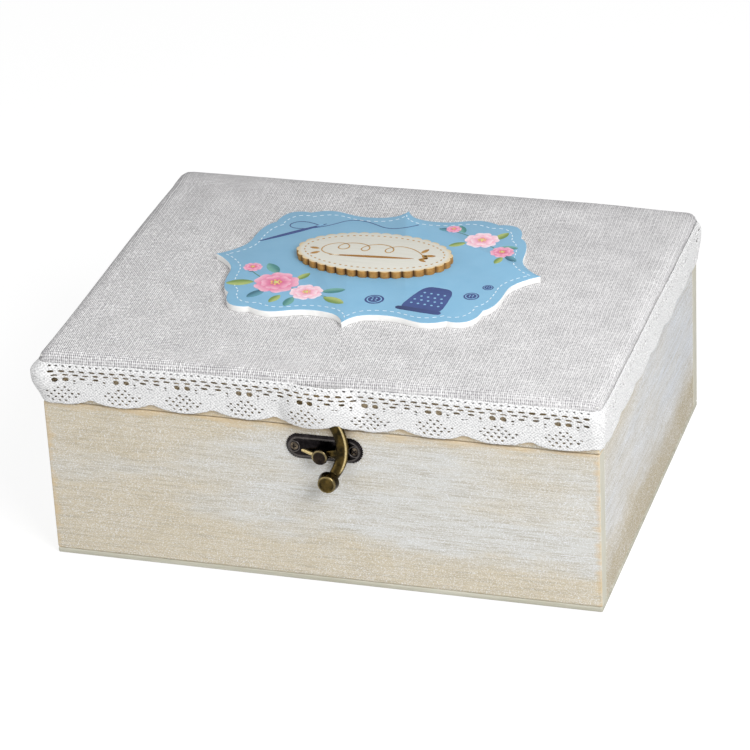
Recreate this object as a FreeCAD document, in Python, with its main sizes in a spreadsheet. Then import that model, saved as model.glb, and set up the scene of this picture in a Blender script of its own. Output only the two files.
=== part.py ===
import FreeCAD, Part
import math
import os
import re
from FreeCAD import Placement, Rotation, Vector

# Sewing box with a padded linen lid, lace round the lid's edge and a swing-hook latch.
# Millimetres; origin under the middle of the bottom, X to the right, Y to the back, Z up.
os.makedirs("parts", exist_ok=True)
doc = FreeCAD.newDocument("sewing_box")

driving_sizes = {
    # Base
    "box_width": 240,
    "box_depth": 188,
    "base_height": 73.4,
    "wall_thickness": 8,
    "bottom_thickness": 2.5,
    "edge_ease": 0.8,
    # Inner rack of three halved strips
    "rack_thickness": 5,
    "rack_height": 46,
    "rack_clearance": 0.3,
    "rack_row_offset": 16,
    "rack_cross_spacing": 80,
    # Lid
    "lid_gap": 0.3,
    "lid_rail_height": 16,
    "lid_top_thickness": 3,
    "pad_height": 3.8,
    "pad_shoulder": 25,
    "lid_corner_radius": 3,
    "cloth_clearance": 0.1,
    "linen_thickness": 0.6,
    "linen_turndown": 1.2,
    # Lace round the lid
    "lace_standoff": 1.0,
    "lace_thickness": 0.8,
    "lace_lift": 0.7,
    "lace_height": 20.8,
    "lace_repeat": 27,
    "lace_scallop_depth": 2.6,
    "lace_front_shift": 10.3,
    "lace_corner_gap": 0.1,
    "eyelet_radius": 1.5,
    "eyelet_spacing": 5,
    "eyelet_height": 12.6,
    "lace_swell_width": 36,
    "lace_swell_height": 28,
    "lace_swell_room": 1.0,
    # Plaque and oval tag
    "plaque_width": 145.6,
    "plaque_depth": 114.4,
    "plaque_thickness": 3,
    "plaque_shift_x": -2.5,
    "plaque_shift_y": 7.2,
    "plaque_turn_angle": 1.7,
    "oval_width": 70,
    "oval_depth": 39.5,
    "oval_thickness": 3.2,
    "oval_shift_x": -5,
    "oval_shift_y": 13,
    "oval_scallop_depth": 1.1,
    "oval_scallop_count": 34,
    # Latch plates and their screws
    "latch_x": 3.7,
    "plate_length": 33,
    "plate_height": 11.5,
    "plate_thickness": 1.1,
    "plate_rim": 1.2,
    "plate_dish": 0.3,
    "plate_screw_spacing": 26,
    "catch_plate_drop": 9.1,
    "hook_plate_rise": 8.8,
    "plate_shank_radius": 1.05,
    "plate_head_radius": 1.75,
    "plate_screw_length": 7,
    "fit_clearance": 0.05,
    # Catch: inclined tongue with a button head
    "head_radius": 3.4,
    "head_thickness": 2.3,
    "head_clearance": 0.9,
    "head_shift_x": -0.7,
    "head_drop": 10.9,
    "head_round": 0.7,
    "tongue_reach": 8.9,
    "tongue_width": 2.8,
    "tongue_thickness": 1.4,
    # Swing hook: eye, crescent arm, finger and knob
    "hook_clearance": 0.3,
    "eye_radius": 4.4,
    "eye_thickness": 1.1,
    "arm_radius": 20,
    "arm_width": 5.6,
    "arm_thickness": 2.3,
    "arm_end_rise": 2.4,
    "arm_root_angle": 55,
    "arm_end_angle": -36,
    "knob_angle": -43,
    "knob_radius": 4.3,
    "knob_length": 3.9,
    "knob_clearance": 0.5,
    "knob_round": 0.9,
    "finger_angle": -8,
    "finger_width": 2.8,
    "finger_reach": 1.6,
    "rivet_radius": 1.5,
    "rivet_head_radius": 2.7,
    "rivet_head_thickness": 0.5,
    "rivet_play": 0.1,
    # Butt hinges on the back
    "hinge_spacing": 140,
    "hinge_length": 24,
    "leaf_thickness": 0.9,
    "leaf_height": 10,
    "knuckle_radius": 1.8,
    "knuckle_gap": 0.15,
    "knuckle_clearance": 0.2,
    "pin_radius": 0.9,
    "hinge_screw_spacing": 15,
    "hinge_screw_drop": 6.2,
    "hinge_shank_radius": 0.8,
    "hinge_head_radius": 1.45,
    "hinge_screw_length": 6,
    # Every cut runs this far past what it cuts
    "overrun": 1,
}

sheet = doc.addObject("Spreadsheet::Sheet", "sizes")
for row, (alias, number) in enumerate(driving_sizes.items(), start=1):
    sheet.set(f"A{row}", alias)
    sheet.set(f"B{row}", str(number))
    sheet.setAlias(f"B{row}", alias)
doc.recompute()

nodes = {}


def size(alias):
    return float(sheet.get(alias))


def rule(text):
    return re.sub(r"[a-z][a-z_]*", r"sizes.\g<0>", text)


def bind(item, **rules):
    for name, text in rules.items():
        item.setExpression(name, rule(text))


def put(item, x, y, z):
    for axis, text in zip("xyz", (x, y, z)):
        item.setExpression("Placement.Base." + axis, rule(text))


def node(label, item):
    item.Label = label
    nodes[label] = item
    return item


def block(name, length, width, height, x, y, z):
    item = doc.addObject("Part::Box", name)
    bind(item, Length=length, Width=width, Height=height)
    put(item, x, y, z)
    return item


def eased_board(name, length, width, height, x, y, z):
    board = doc.addObject("PartDesign::Body", name)
    slab = board.newObject("PartDesign::AdditiveBox", name + "_slab")
    bind(slab, Length=length, Width=width, Height=height)
    doc.recompute()
    ease = board.newObject("PartDesign::Fillet", name + "_ease")
    ease.Base = (slab, ["Edge1"])
    ease.UseAllEdges = True
    bind(ease, Radius="edge_ease")
    board.Tip = ease
    put(board, x, y, z)
    return board


def cut(name, base, tools):
    result = doc.addObject("Part::Cut", name)
    tool = tools[0]
    if len(tools) > 1:
        tool = doc.addObject("Part::MultiFuse", name + "_tool")
        tool.Shapes = tools
    result.Base = base
    result.Tool = tool
    return result


def formed(name, shape, place=Placement()):
    item = doc.addObject("Part::Feature", name)
    item.Shape = shape
    item.Placement = place
    return item


def padded_sketch(name, role, curves, thickness):
    body = doc.addObject("PartDesign::Body", name)
    sketch = body.newObject("Sketcher::SketchObject", name + "_outline")
    plane = next(part for part in body.Origin.OriginFeatures if part.Role == role)
    sketch.AttachmentSupport = (plane, "")
    sketch.MapMode = "FlatFace"
    sketch.addGeometry(curves, False)
    doc.recompute()
    pad = body.newObject("PartDesign::Pad", name + "_pad")
    pad.Profile = sketch
    bind(pad, Length=thickness)
    body.Tip = pad
    return body


# Outward directions of the front and the back as turns of a piece drawn along +Z
facing_front = Rotation(Vector(1, 0, 0), 90)
facing_back = Rotation(Vector(1, 0, 0), -90)

half_width = size("box_width") / 2
half_depth = size("box_depth") / 2
lid_low = size("base_height") + size("lid_gap")
deck_level = lid_low + size("lid_rail_height") + size("lid_top_thickness")
lid_low_rule = "base_height + lid_gap"
deck_rule = lid_low_rule + " + lid_rail_height + lid_top_thickness"
cloth_top_rule = deck_rule + " + pad_height + cloth_clearance + linen_thickness"


# Countersunk screws, drawn along +Z with the head's face at zero
def screw_shape(kind, growth):
    shank = size(kind + "_shank_radius") + growth
    head = size(kind + "_head_radius") + growth
    length = size(kind + "_screw_length") + growth
    corners = [(0, 0), (head, 0), (shank, shank - head), (shank, -length), (0, -length), (0, 0)]
    outline = Part.makePolygon([Vector(across, 0, along) for across, along in corners])
    return Part.Face(outline).revolve(Vector(), Vector(0, 0, 1), 360)


def screw(label, kind, place):
    formed_hole = formed(label + "_hole", screw_shape(kind, size("fit_clearance")), place)
    node(label, formed(label + "_form", screw_shape(kind, 0), place))
    return formed_hole


# Screws of the two latch plates
plate_floor = size("plate_thickness") - size("plate_dish")
catch_plate_z = size("base_height") - size("catch_plate_drop")
hook_plate_z = lid_low + size("hook_plate_rise")
plate_holes = {}
for plate, level in (("catch", catch_plate_z), ("hook", hook_plate_z)):
    plate_holes[plate] = []
    for side, sign in (("left", -1), ("right", 1)):
        across = size("latch_x") + sign * size("plate_screw_spacing") / 2
        spot = Vector(across, -half_depth - plate_floor, level)
        plate_holes[plate].append(
            screw(f"{plate}_screw_{side}", "plate", Placement(spot, facing_front)))

# Screws of the hinge leaves
axis_y = half_depth + size("knuckle_radius")
axis_z = size("base_height")
hinge_holes = {}
for part, sign_z in (("base", -1), ("lid", 1)):
    for hinge, sign_x in (("left", -1), ("right", 1)):
        holes = hinge_holes[hinge, part] = []
        for side, sign in (("outer", 1), ("inner", -1)):
            across = sign_x * (size("hinge_spacing") + sign * size("hinge_screw_spacing")) / 2
            spot = Vector(across, half_depth + size("leaf_thickness"),
                          axis_z + sign_z * size("hinge_screw_drop"))
            label = f"{hinge}_{part}_hinge_screw_{side}"
            holes.append(screw(label, "hinge", Placement(spot, facing_back)))

# Base: front and back walls overlap the ends of the side walls, over a bottom sheet
wall_height = "base_height - bottom_thickness"
inner_depth = "box_depth - 2 * wall_thickness"
node("bottom_panel", eased_board(
    "bottom_board", "box_width", "box_depth", "bottom_thickness",
    "-box_width / 2", "-box_depth / 2", "0"))
front_board = eased_board(
    "front_board", "box_width", "wall_thickness", wall_height,
    "-box_width / 2", "-box_depth / 2", "bottom_thickness")
back_board = eased_board(
    "back_board", "box_width", "wall_thickness", wall_height,
    "-box_width / 2", "box_depth / 2 - wall_thickness", "bottom_thickness")
node("front_panel", cut("front_drilled", front_board, plate_holes["catch"]))
node("back_panel", cut("back_drilled", back_board,
                       hinge_holes["left", "base"] + hinge_holes["right", "base"]))
node("left_panel", eased_board(
    "left_board", "wall_thickness", inner_depth, wall_height,
    "-box_width / 2", "wall_thickness - box_depth / 2", "bottom_thickness"))
node("right_panel", eased_board(
    "right_board", "wall_thickness", inner_depth, wall_height,
    "box_width / 2 - wall_thickness", "wall_thickness - box_depth / 2", "bottom_thickness"))

# Inner rack: the long strip is slotted from above, the cross strips from below
strip_length = "box_width - 2 * wall_thickness - 2 * rack_clearance"
slot_width = "rack_thickness + 2 * rack_clearance"
half_strip = "rack_height / 2"
long_strip = block(
    "long_strip", strip_length, "rack_thickness", "rack_height",
    "wall_thickness + rack_clearance - box_width / 2",
    "rack_row_offset - rack_thickness / 2", "bottom_thickness")
long_slots = []
for side, sign in (("left", "-"), ("right", "")):
    cross_x = f"{sign}rack_cross_spacing / 2"
    long_slots.append(block(
        side + "_long_slot", slot_width, "rack_thickness + 2 * overrun", half_strip + " + overrun",
        f"{cross_x} - rack_thickness / 2 - rack_clearance",
        "rack_row_offset - rack_thickness / 2 - overrun",
        f"bottom_thickness + {half_strip}"))
    cross_strip = block(
        side + "_cross_strip", "rack_thickness", inner_depth + " - 2 * rack_clearance", "rack_height",
        f"{cross_x} - rack_thickness / 2",
        "wall_thickness + rack_clearance - box_depth / 2", "bottom_thickness")
    cross_slot = block(
        side + "_cross_slot", "rack_thickness + 2 * overrun", slot_width, half_strip + " + overrun",
        f"{cross_x} - rack_thickness / 2 - overrun",
        "rack_row_offset - rack_thickness / 2 - rack_clearance",
        "bottom_thickness - overrun")
    node(side + "_cross_divider", cut(side + "_cross_halved", cross_strip, [cross_slot]))
node("long_divider", cut("long_halved", long_strip, long_slots))

# Lid frame and top
lid_front_board = eased_board(
    "lid_front_board", "box_width", "wall_thickness", "lid_rail_height",
    "-box_width / 2", "-box_depth / 2", lid_low_rule)
lid_back_board = eased_board(
    "lid_back_board", "box_width", "wall_thickness", "lid_rail_height",
    "-box_width / 2", "box_depth / 2 - wall_thickness", lid_low_rule)
node("lid_front_rail", cut("lid_front_drilled", lid_front_board, plate_holes["hook"]))
node("lid_back_rail", cut("lid_back_drilled", lid_back_board,
                          hinge_holes["left", "lid"] + hinge_holes["right", "lid"]))
node("lid_left_rail", eased_board(
    "lid_left_board", "wall_thickness", inner_depth, "lid_rail_height",
    "-box_width / 2", "wall_thickness - box_depth / 2", lid_low_rule))
node("lid_right_rail", eased_board(
    "lid_right_board", "wall_thickness", inner_depth, "lid_rail_height",
    "box_width / 2 - wall_thickness", "wall_thickness - box_depth / 2", lid_low_rule))

# Top board, padding and linen: how far the padding draws in, and how high it stands there,
# as shares of the shoulder and of the padding's height
crown_shares = [(0, 0.55), (0.02, 0.75), (0.06, 0.88), (0.3, 0.96), (1, 1)]


def rounded_rectangle(inset, growth, level):
    across = half_width + growth - inset
    deep = half_depth + growth - inset
    radius = size("lid_corner_radius")
    lean = radius * (1 - math.sqrt(0.5))
    curves = []
    for quarter in range(4):
        turn = Rotation(Vector(0, 0, 1), 90 * quarter)
        long, short = (across, deep) if quarter % 2 == 0 else (deep, across)
        start = Vector(long, radius - short, level)
        finish = Vector(long, short - radius, level)
        bend = Vector(long - lean, short - lean, level)
        after = Vector(long - radius, short, level)
        start, finish, bend, after = (turn.multVec(spot) for spot in (start, finish, bend, after))
        curves.append(Part.LineSegment(start, finish))
        curves.append(Part.Arc(finish, bend, after))
    return curves


def crowned_block(growth, low):
    outlines = [rounded_rectangle(0, growth, low)]
    for inset_share, rise_share in crown_shares:
        level = deck_level + rise_share * size("pad_height") + growth
        outlines.append(rounded_rectangle(inset_share * size("pad_shoulder"), growth, level))
    wires = [Part.Wire([curve.toShape() for curve in outline]) for outline in outlines]
    return Part.makeLoft(wires, True, True)


top_board = padded_sketch(
    "lid_top_board", "XY_Plane", rounded_rectangle(0, 0, 0), "lid_top_thickness")
put(top_board, "0", "0", lid_low_rule + " + lid_rail_height")
node("lid_top_panel", top_board)
turndown_level = deck_level - size("linen_turndown")
linen_inside = size("cloth_clearance")
linen_outside = linen_inside + size("linen_thickness")
node("wadding_pad", formed("wadding_form", crowned_block(0, deck_level)))
linen_outer = formed("linen_outer", crowned_block(linen_outside, turndown_level))
linen_inner = formed("linen_inner", crowned_block(linen_inside, turndown_level - size("overrun")))
node("linen_cover", cut("linen_shell", linen_outer, [linen_inner]))

# Lace: a band with a scalloped lower edge and a pair of eyelets over each scallop
lace_low = lid_low + size("lace_lift")
lace_high = lace_low + size("lace_height")
lace_reach = size("lace_standoff") + size("lace_thickness")


def lace_curves(run, valley):
    repeat = size("lace_repeat")
    depth = size("lace_scallop_depth")
    radius = ((repeat / 2) ** 2 + depth ** 2) / (2 * depth)

    def edge(x, middle):
        return Vector(x, lace_low + radius - math.sqrt(radius ** 2 - (x - middle) ** 2), 0)

    curves = []
    corners = []
    first = math.floor((-run / 2 - valley) / repeat)
    last = math.ceil((run / 2 - valley) / repeat)
    for index in range(first, last):
        start = valley + index * repeat
        middle = start + repeat / 2
        low_x = max(start, -run / 2)
        high_x = min(start + repeat, run / 2)
        ends = edge(low_x, middle), edge((low_x + high_x) / 2, middle), edge(high_x, middle)
        curves.append(Part.Arc(*ends))
        corners += [ends[0], ends[2]]
        for sign in (-1, 1):
            eyelet_x = middle + sign * size("eyelet_spacing") / 2
            if abs(eyelet_x) < run / 2 - 2 * size("eyelet_radius"):
                centre = Vector(eyelet_x, lace_low + size("eyelet_height"), 0)
                curves.append(Part.Circle(centre, Vector(0, 0, 1), size("eyelet_radius")))
    top_left = Vector(-run / 2, lace_high, 0)
    top_right = Vector(run / 2, lace_high, 0)
    curves.append(Part.LineSegment(corners[0], top_left))
    curves.append(Part.LineSegment(top_left, top_right))
    curves.append(Part.LineSegment(top_right, corners[-1]))
    return curves


def lace_band(name, run, valley, turn, x, y):
    band = padded_sketch(name, "XZ_Plane", lace_curves(run, valley), "lace_thickness")
    band.Placement = Placement(Vector(), Rotation(Vector(0, 0, 1), turn))
    put(band, x, y, "0")
    return band


front_run = size("box_width") + 2 * lace_reach
side_run = size("box_depth") + 2 * (size("lace_standoff") - size("lace_corner_gap"))
front_y = "-box_depth / 2 - lace_standoff"
node("lace_left", lace_band("left_band", side_run, 0, -90, "-box_width / 2 - lace_standoff", "0"))
node("lace_right", lace_band("right_band", side_run, 0, 90, "box_width / 2 + lace_standoff", "0"))

# The back lace is trimmed clear of the hinge knuckles
back_band = lace_band("back_band", front_run, 0, 180, "0", "box_depth / 2 + lace_standoff")
knuckle_trims = [
    block(side + "_knuckle_trim", "hinge_length + 2 * knuckle_clearance",
          "lace_thickness + 2 * overrun",
          "lid_gap + lace_lift + knuckle_radius",
          f"{sign}hinge_spacing / 2 - hinge_length / 2 - knuckle_clearance",
          "box_depth / 2 + lace_standoff - overrun", "base_height + 2 * knuckle_clearance")
    for side, sign in (("left", "-"), ("right", ""))]
node("lace_back", cut("back_lace_trimmed", back_band, knuckle_trims))

# The front lace swells over the hook's plate and eye
arm_back = size("plate_thickness") + size("hook_clearance")
eye_front = arm_back + size("eye_thickness")
rivet_front = eye_front + size("rivet_play") + size("rivet_head_thickness")
rivet_front_rule = (
    "plate_thickness + hook_clearance + eye_thickness + rivet_play + rivet_head_thickness")
front_band = lace_band("front_band", front_run, size("lace_front_shift"), 0, "0", front_y)
front_prism = padded_sketch(
    "front_prism", "XZ_Plane", lace_curves(front_run, size("lace_front_shift")),
    rivet_front_rule + " + lace_swell_room + lace_thickness")
put(front_prism, "0", front_y, "0")
swells = []
for layer, growth in (("inner", ""), ("outer", " + lace_thickness")):
    swell = doc.addObject("Part::Ellipsoid", layer + "_swell")
    bind(swell, Radius1="lace_swell_height / 2" + growth, Radius2="lace_swell_width / 2" + growth,
         Radius3=rivet_front_rule + " + lace_swell_room" + growth)
    put(swell, "latch_x", "-box_depth / 2", lid_low_rule + " + hook_plate_rise")
    swells.append(swell)
inner_swell, outer_swell = swells
flat_lace = cut("flat_front_lace", front_band, [outer_swell])
swell_shell = cut("swell_shell", outer_swell, [inner_swell])
raised_lace = doc.addObject("Part::Common", "raised_front_lace")
raised_lace.Base = swell_shell
raised_lace.Tool = front_prism
front_lace = doc.addObject("Part::Fuse", "front_lace_fuse")
front_lace.Base = flat_lace
front_lace.Tool = raised_lace
node("lace_front", front_lace)

# Plaque: one quarter of its outline in three stretches, from the far point to the side
# point, as shares of half the width and half the depth
plaque_shares = [
    [(0, 1), (0.027, 0.928), (0.069, 0.876), (0.137, 0.843), (0.222, 0.832), (0.326, 0.853),
     (0.395, 0.887), (0.465, 0.906), (0.532, 0.890), (0.594, 0.848)],
    [(0.594, 0.848), (0.652, 0.859), (0.704, 0.838), (0.745, 0.775), (0.763, 0.698), (0.768, 0.639)],
    [(0.768, 0.639), (0.808, 0.571), (0.830, 0.471), (0.840, 0.363), (0.844, 0.274),
     (0.863, 0.187), (0.911, 0.098), (0.960, 0.035), (1, 0)],
]
plaque_curves = []
for sign_x in (-1, 1):
    for sign_y in (-1, 1):
        for stretch in plaque_shares:
            curve = Part.BSplineCurve()
            curve.interpolate([
                Vector(sign_x * across * size("plaque_width") / 2,
                       sign_y * deep * size("plaque_depth") / 2, 0)
                for across, deep in stretch])
            plaque_curves.append(curve)
plaque = padded_sketch("plaque_board", "XY_Plane", plaque_curves, "plaque_thickness")
plaque.Placement = Placement(Vector(), Rotation(Vector(0, 0, 1), size("plaque_turn_angle")))
put(plaque, "plaque_shift_x", "plaque_shift_y", cloth_top_rule)
node("plaque", plaque)

# Oval tag: equal scallops round an ellipse
oval_across = size("oval_width") / 2 - size("oval_scallop_depth")
oval_deep = size("oval_depth") / 2 - size("oval_scallop_depth")
oval_count = int(size("oval_scallop_count"))
oval_ring = Part.Ellipse(Vector(), oval_across, oval_deep).toShape()
oval_spots = oval_ring.discretize(Number=2 * oval_count + 1)
oval_curves = []
for index in range(0, 2 * oval_count, 2):
    start, crest, finish = oval_spots[index], oval_spots[index + 1], oval_spots[(index + 2) % (2 * oval_count)]
    outward = Vector(crest.x / oval_across ** 2, crest.y / oval_deep ** 2, 0).normalize()
    oval_curves.append(Part.Arc(start, crest + outward * size("oval_scallop_depth"), finish))
oval = padded_sketch("oval_board", "XY_Plane", oval_curves, "oval_thickness")
put(oval, "oval_shift_x", "oval_shift_y", cloth_top_rule + " + plaque_thickness")
node("oval_tag", oval)


# Latch plates: obround, with a raised rim round a shallow dish
def obround(length, height, x, z):
    straight = (length - height) / 2
    low_left = Vector(x - straight, z - height / 2, 0)
    low_right = Vector(x + straight, z - height / 2, 0)
    high_right = Vector(x + straight, z + height / 2, 0)
    high_left = Vector(x - straight, z + height / 2, 0)
    return [
        Part.LineSegment(low_left, low_right),
        Part.Arc(low_right, Vector(x + length / 2, z, 0), high_right),
        Part.LineSegment(high_right, high_left),
        Part.Arc(high_left, Vector(x - length / 2, z, 0), low_left),
    ]


def latch_plate(name, level):
    length = size("plate_length")
    height = size("plate_height")
    rim = size("plate_rim")
    plate = padded_sketch(
        name, "XZ_Plane", obround(length, height, size("latch_x"), level), "plate_thickness")
    put(plate, "0", "-box_depth / 2", "0")
    dish = padded_sketch(
        name + "_dish", "XZ_Plane",
        obround(length - 2 * rim, height - 2 * rim, size("latch_x"), level), "plate_dish + overrun")
    put(dish, "0", "plate_dish - plate_thickness - box_depth / 2", "0")
    return plate, dish


catch_blank, catch_dish = latch_plate("catch_blank", catch_plate_z)
node("catch_plate", cut("catch_plate_drilled", catch_blank, [catch_dish] + plate_holes["catch"]))


# Turned pieces that stand out from the front: back, front, radius and rounded front edge
def turned(x, z, back, front, radius, rounding):
    lean = rounding * (1 - math.sqrt(0.5))
    edges = [
        Part.LineSegment(Vector(0, 0, back), Vector(radius, 0, back)).toShape(),
        Part.LineSegment(Vector(radius, 0, back), Vector(radius, 0, front - rounding)).toShape(),
        Part.Arc(Vector(radius, 0, front - rounding), Vector(radius - lean, 0, front - lean),
                 Vector(radius - rounding, 0, front)).toShape(),
        Part.LineSegment(Vector(radius - rounding, 0, front), Vector(0, 0, front)).toShape(),
        Part.LineSegment(Vector(0, 0, front), Vector(0, 0, back)).toShape(),
    ]
    shape = Part.Face(Part.Wire(edges)).revolve(Vector(), Vector(0, 0, 1), 360)
    shape.Placement = Placement(Vector(x, -half_depth, z), facing_front)
    return shape


# Catch: the tongue leans out from the plate to the back of its button head
head_x = size("latch_x") + size("head_shift_x")
head_z = size("base_height") - size("head_drop")
head_back = eye_front + size("head_clearance")
head_front = head_back + size("head_thickness")
head = turned(head_x, head_z, head_back, head_front, size("head_radius"), size("head_round"))
tongue_root = head_x - size("tongue_reach")
tongue_corners = [
    (tongue_root, plate_floor),
    (tongue_root + 2 * size("tongue_thickness"), plate_floor),
    (head_x, head_back),
    (head_x, head_back + size("tongue_thickness")),
    (head_x - size("tongue_thickness"), head_back + size("tongue_thickness")),
]
tongue_face = Part.Face(Part.makePolygon([
    Vector(x, -half_depth - out, head_z - size("tongue_width") / 2)
    for x, out in tongue_corners + tongue_corners[:1]]))
tongue = tongue_face.extrude(Vector(0, 0, size("tongue_width")))
node("catch_tongue", formed("catch_tongue_form", head.fuse(tongue).removeSplitter()))

# Swing hook: the arm is a loft round an arc that starts at the pivot. Each station has
# its place along the arc, its lift, its thickness and its width, as shares
arm_station_shares = [
    (0, 0, 0.48, 1.05),
    (0.26, 0, 0.7, 1.03),
    (0.55, 0, 1, 1),
    (0.77, 0.06, 1.13, 0.95),
    (0.89, 0.4, 1.35, 0.85),
    (1, 1, 1.5, 0.75),
]
arm_side_share = 0.4
arm_ridge_share = 0.15
pivot_x = size("latch_x")
pivot_z = hook_plate_z
arm_radius = size("arm_radius")
root_turn = math.radians(size("arm_root_angle"))
end_turn = math.radians(size("arm_end_angle"))
arc_x = pivot_x - arm_radius * math.cos(root_turn)
arc_z = pivot_z - arm_radius * math.sin(root_turn)


def on_arc(turn, radius, out):
    return Vector(arc_x + radius * math.cos(turn), -half_depth - out, arc_z + radius * math.sin(turn))


def arm_section(along, lift, thickness, width):
    turn = root_turn + along * (end_turn - root_turn)
    low = arm_back + lift * size("arm_end_rise")
    high = low + thickness * size("arm_thickness")
    side = low + arm_side_share * (high - low)
    reach = width * size("arm_width") / 2
    inner_low = on_arc(turn, arm_radius - reach, low)
    outer_low = on_arc(turn, arm_radius + reach, low)
    inner_side = on_arc(turn, arm_radius - reach, side)
    outer_side = on_arc(turn, arm_radius + reach, side)
    ridge = on_arc(turn, arm_radius + arm_ridge_share * reach, high)
    return Part.Wire([
        Part.LineSegment(inner_low, outer_low).toShape(),
        Part.LineSegment(outer_low, outer_side).toShape(),
        Part.Arc(outer_side, ridge, inner_side).toShape(),
        Part.LineSegment(inner_side, inner_low).toShape(),
    ])


arm = Part.makeLoft([arm_section(*station) for station in arm_station_shares], True, False)
outward = Vector(0, -1, 0)
eye = Part.makeCylinder(
    size("eye_radius"), size("eye_thickness"),
    Vector(pivot_x, -half_depth - arm_back, pivot_z), outward)
knob_spot = on_arc(math.radians(size("knob_angle")), arm_radius, 0)
knob_back = head_front + size("knob_clearance")
knob = turned(knob_spot.x, knob_spot.z, knob_back, knob_back + size("knob_length"),
              size("knob_radius"), size("knob_round"))
finger_base = on_arc(math.radians(size("finger_angle")), arm_radius, eye_front)
finger = Part.makeBox(
    finger_base.x - pivot_x - size("finger_reach"), size("eye_thickness"), size("finger_width"),
    Vector(pivot_x + size("finger_reach"), finger_base.y, finger_base.z - size("finger_width") / 2))
eye_bore = Part.makeCylinder(
    size("rivet_radius") + size("fit_clearance"), arm_back + size("knob_length"),
    Vector(pivot_x, -half_depth, pivot_z), outward)
hook_shape = arm.fuse([eye, finger, knob]).cut(eye_bore).removeSplitter()
node("swing_hook", formed("swing_hook_form", hook_shape))

# Rivet through the hook's plate and eye
rivet_shank = Part.makeCylinder(
    size("rivet_radius"), eye_front + size("rivet_play"),
    Vector(pivot_x, -half_depth, pivot_z), outward)
rivet_head = turned(pivot_x, pivot_z, eye_front + size("rivet_play"), rivet_front,
                    size("rivet_head_radius"), size("rivet_head_thickness") / 2)
node("hook_rivet", formed("hook_rivet_form", rivet_shank.fuse(rivet_head).removeSplitter()))
hook_blank, hook_dish = latch_plate("hook_blank", hook_plate_z)
rivet_hole = formed("rivet_hole", rivet_shank)
node("hook_plate", cut("hook_plate_drilled", hook_blank,
                       [hook_dish, rivet_hole] + plate_holes["hook"]))

# Butt hinges: the base leaf carries the outer knuckles, the lid leaf the middle one
knuckle_pitch = size("hinge_length") / 3
for hinge, sign_x in (("left", -1), ("right", 1)):
    middle_x = sign_x * size("hinge_spacing") / 2
    pin_start = Vector(middle_x - size("hinge_length") / 2, axis_y, axis_z)
    along = Vector(1, 0, 0)
    bore_start = pin_start - along * size("overrun")
    bore = Part.makeCylinder(
        size("pin_radius") + size("fit_clearance"),
        size("hinge_length") + 2 * size("overrun"), bore_start, along)
    node(hinge + "_hinge_pin", formed(hinge + "_pin_form", Part.makeCylinder(
        size("pin_radius"), size("hinge_length"), pin_start, along)))
    for part, sign_z, places in (("base", -1, (0, 2)), ("lid", 1, (1,))):
        clear = size("knuckle_radius") + size("knuckle_clearance")
        low = axis_z - size("leaf_height") if sign_z < 0 else axis_z + clear
        pieces = [Part.makeBox(
            size("hinge_length"), size("leaf_thickness"), size("leaf_height") - clear,
            Vector(pin_start.x, half_depth, low))]
        for place in places:
            start_x = pin_start.x + place * knuckle_pitch + size("knuckle_gap") / 2
            length = knuckle_pitch - size("knuckle_gap")
            pieces.append(Part.makeCylinder(
                size("knuckle_radius"), length, Vector(start_x, axis_y, axis_z), along))
            pieces.append(Part.makeBox(
                length, size("leaf_thickness"), clear,
                Vector(start_x, half_depth, axis_z - clear if sign_z < 0 else axis_z)))
        leaf = pieces[0].fuse(pieces[1:]).cut(bore).removeSplitter()
        leaf_blank = formed(f"{hinge}_{part}_leaf_blank", leaf)
        node(f"{hinge}_{part}_leaf",
             cut(f"{hinge}_{part}_leaf_drilled", leaf_blank, hinge_holes[hinge, part]))

doc.recompute()

for item in doc.Objects:
    if "Invalid" in item.State or "Error" in item.State:
        raise RuntimeError(f"{item.Label} did not build")
for label, item in nodes.items():
    if item.Shape.isNull() or not item.Shape.isValid():
        raise RuntimeError(f"{label} has no valid shape")
for label, item in nodes.items():
    item.Shape.exportStep(f"parts/{label}.step")
    print(f"{label}: {len(item.Shape.Solids)} solid, {item.Shape.Volume:.1f} mm3")
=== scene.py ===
import bpy
import bmesh
import functools
import math
from mathutils import Matrix, Vector, noise


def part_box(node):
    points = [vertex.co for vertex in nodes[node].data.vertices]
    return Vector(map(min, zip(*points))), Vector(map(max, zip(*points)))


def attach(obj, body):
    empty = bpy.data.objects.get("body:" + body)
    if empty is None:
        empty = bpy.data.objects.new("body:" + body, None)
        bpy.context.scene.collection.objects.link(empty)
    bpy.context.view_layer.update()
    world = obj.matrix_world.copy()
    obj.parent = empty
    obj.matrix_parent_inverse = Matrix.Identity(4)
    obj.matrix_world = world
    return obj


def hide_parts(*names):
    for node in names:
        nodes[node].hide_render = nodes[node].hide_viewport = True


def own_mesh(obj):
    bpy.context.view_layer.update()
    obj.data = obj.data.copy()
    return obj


# Sewing box: limed wood, padded linen lid edged with cotton lace, swing-hook latch of antique brass
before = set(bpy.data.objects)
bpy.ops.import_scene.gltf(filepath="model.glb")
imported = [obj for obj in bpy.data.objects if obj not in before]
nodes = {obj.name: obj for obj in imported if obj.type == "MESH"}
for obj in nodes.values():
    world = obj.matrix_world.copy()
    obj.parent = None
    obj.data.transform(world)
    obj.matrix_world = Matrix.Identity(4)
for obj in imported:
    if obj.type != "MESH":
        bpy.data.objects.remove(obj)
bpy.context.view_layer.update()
scene = bpy.context.scene
mm = 0.001
# Half the width and depth of the wooden box, and the two flat faces on its lid, in mm and degrees
halfWide, halfDeep = 120, 94
plaqueFace = {"centre": (-2.5, 7.2), "turn": 1.7, "height": 100.2}
ovalFace = {"centre": (-5.0, 13.0), "half": (35.0, 19.75), "turn": 0.0, "height": 103.4}


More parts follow.
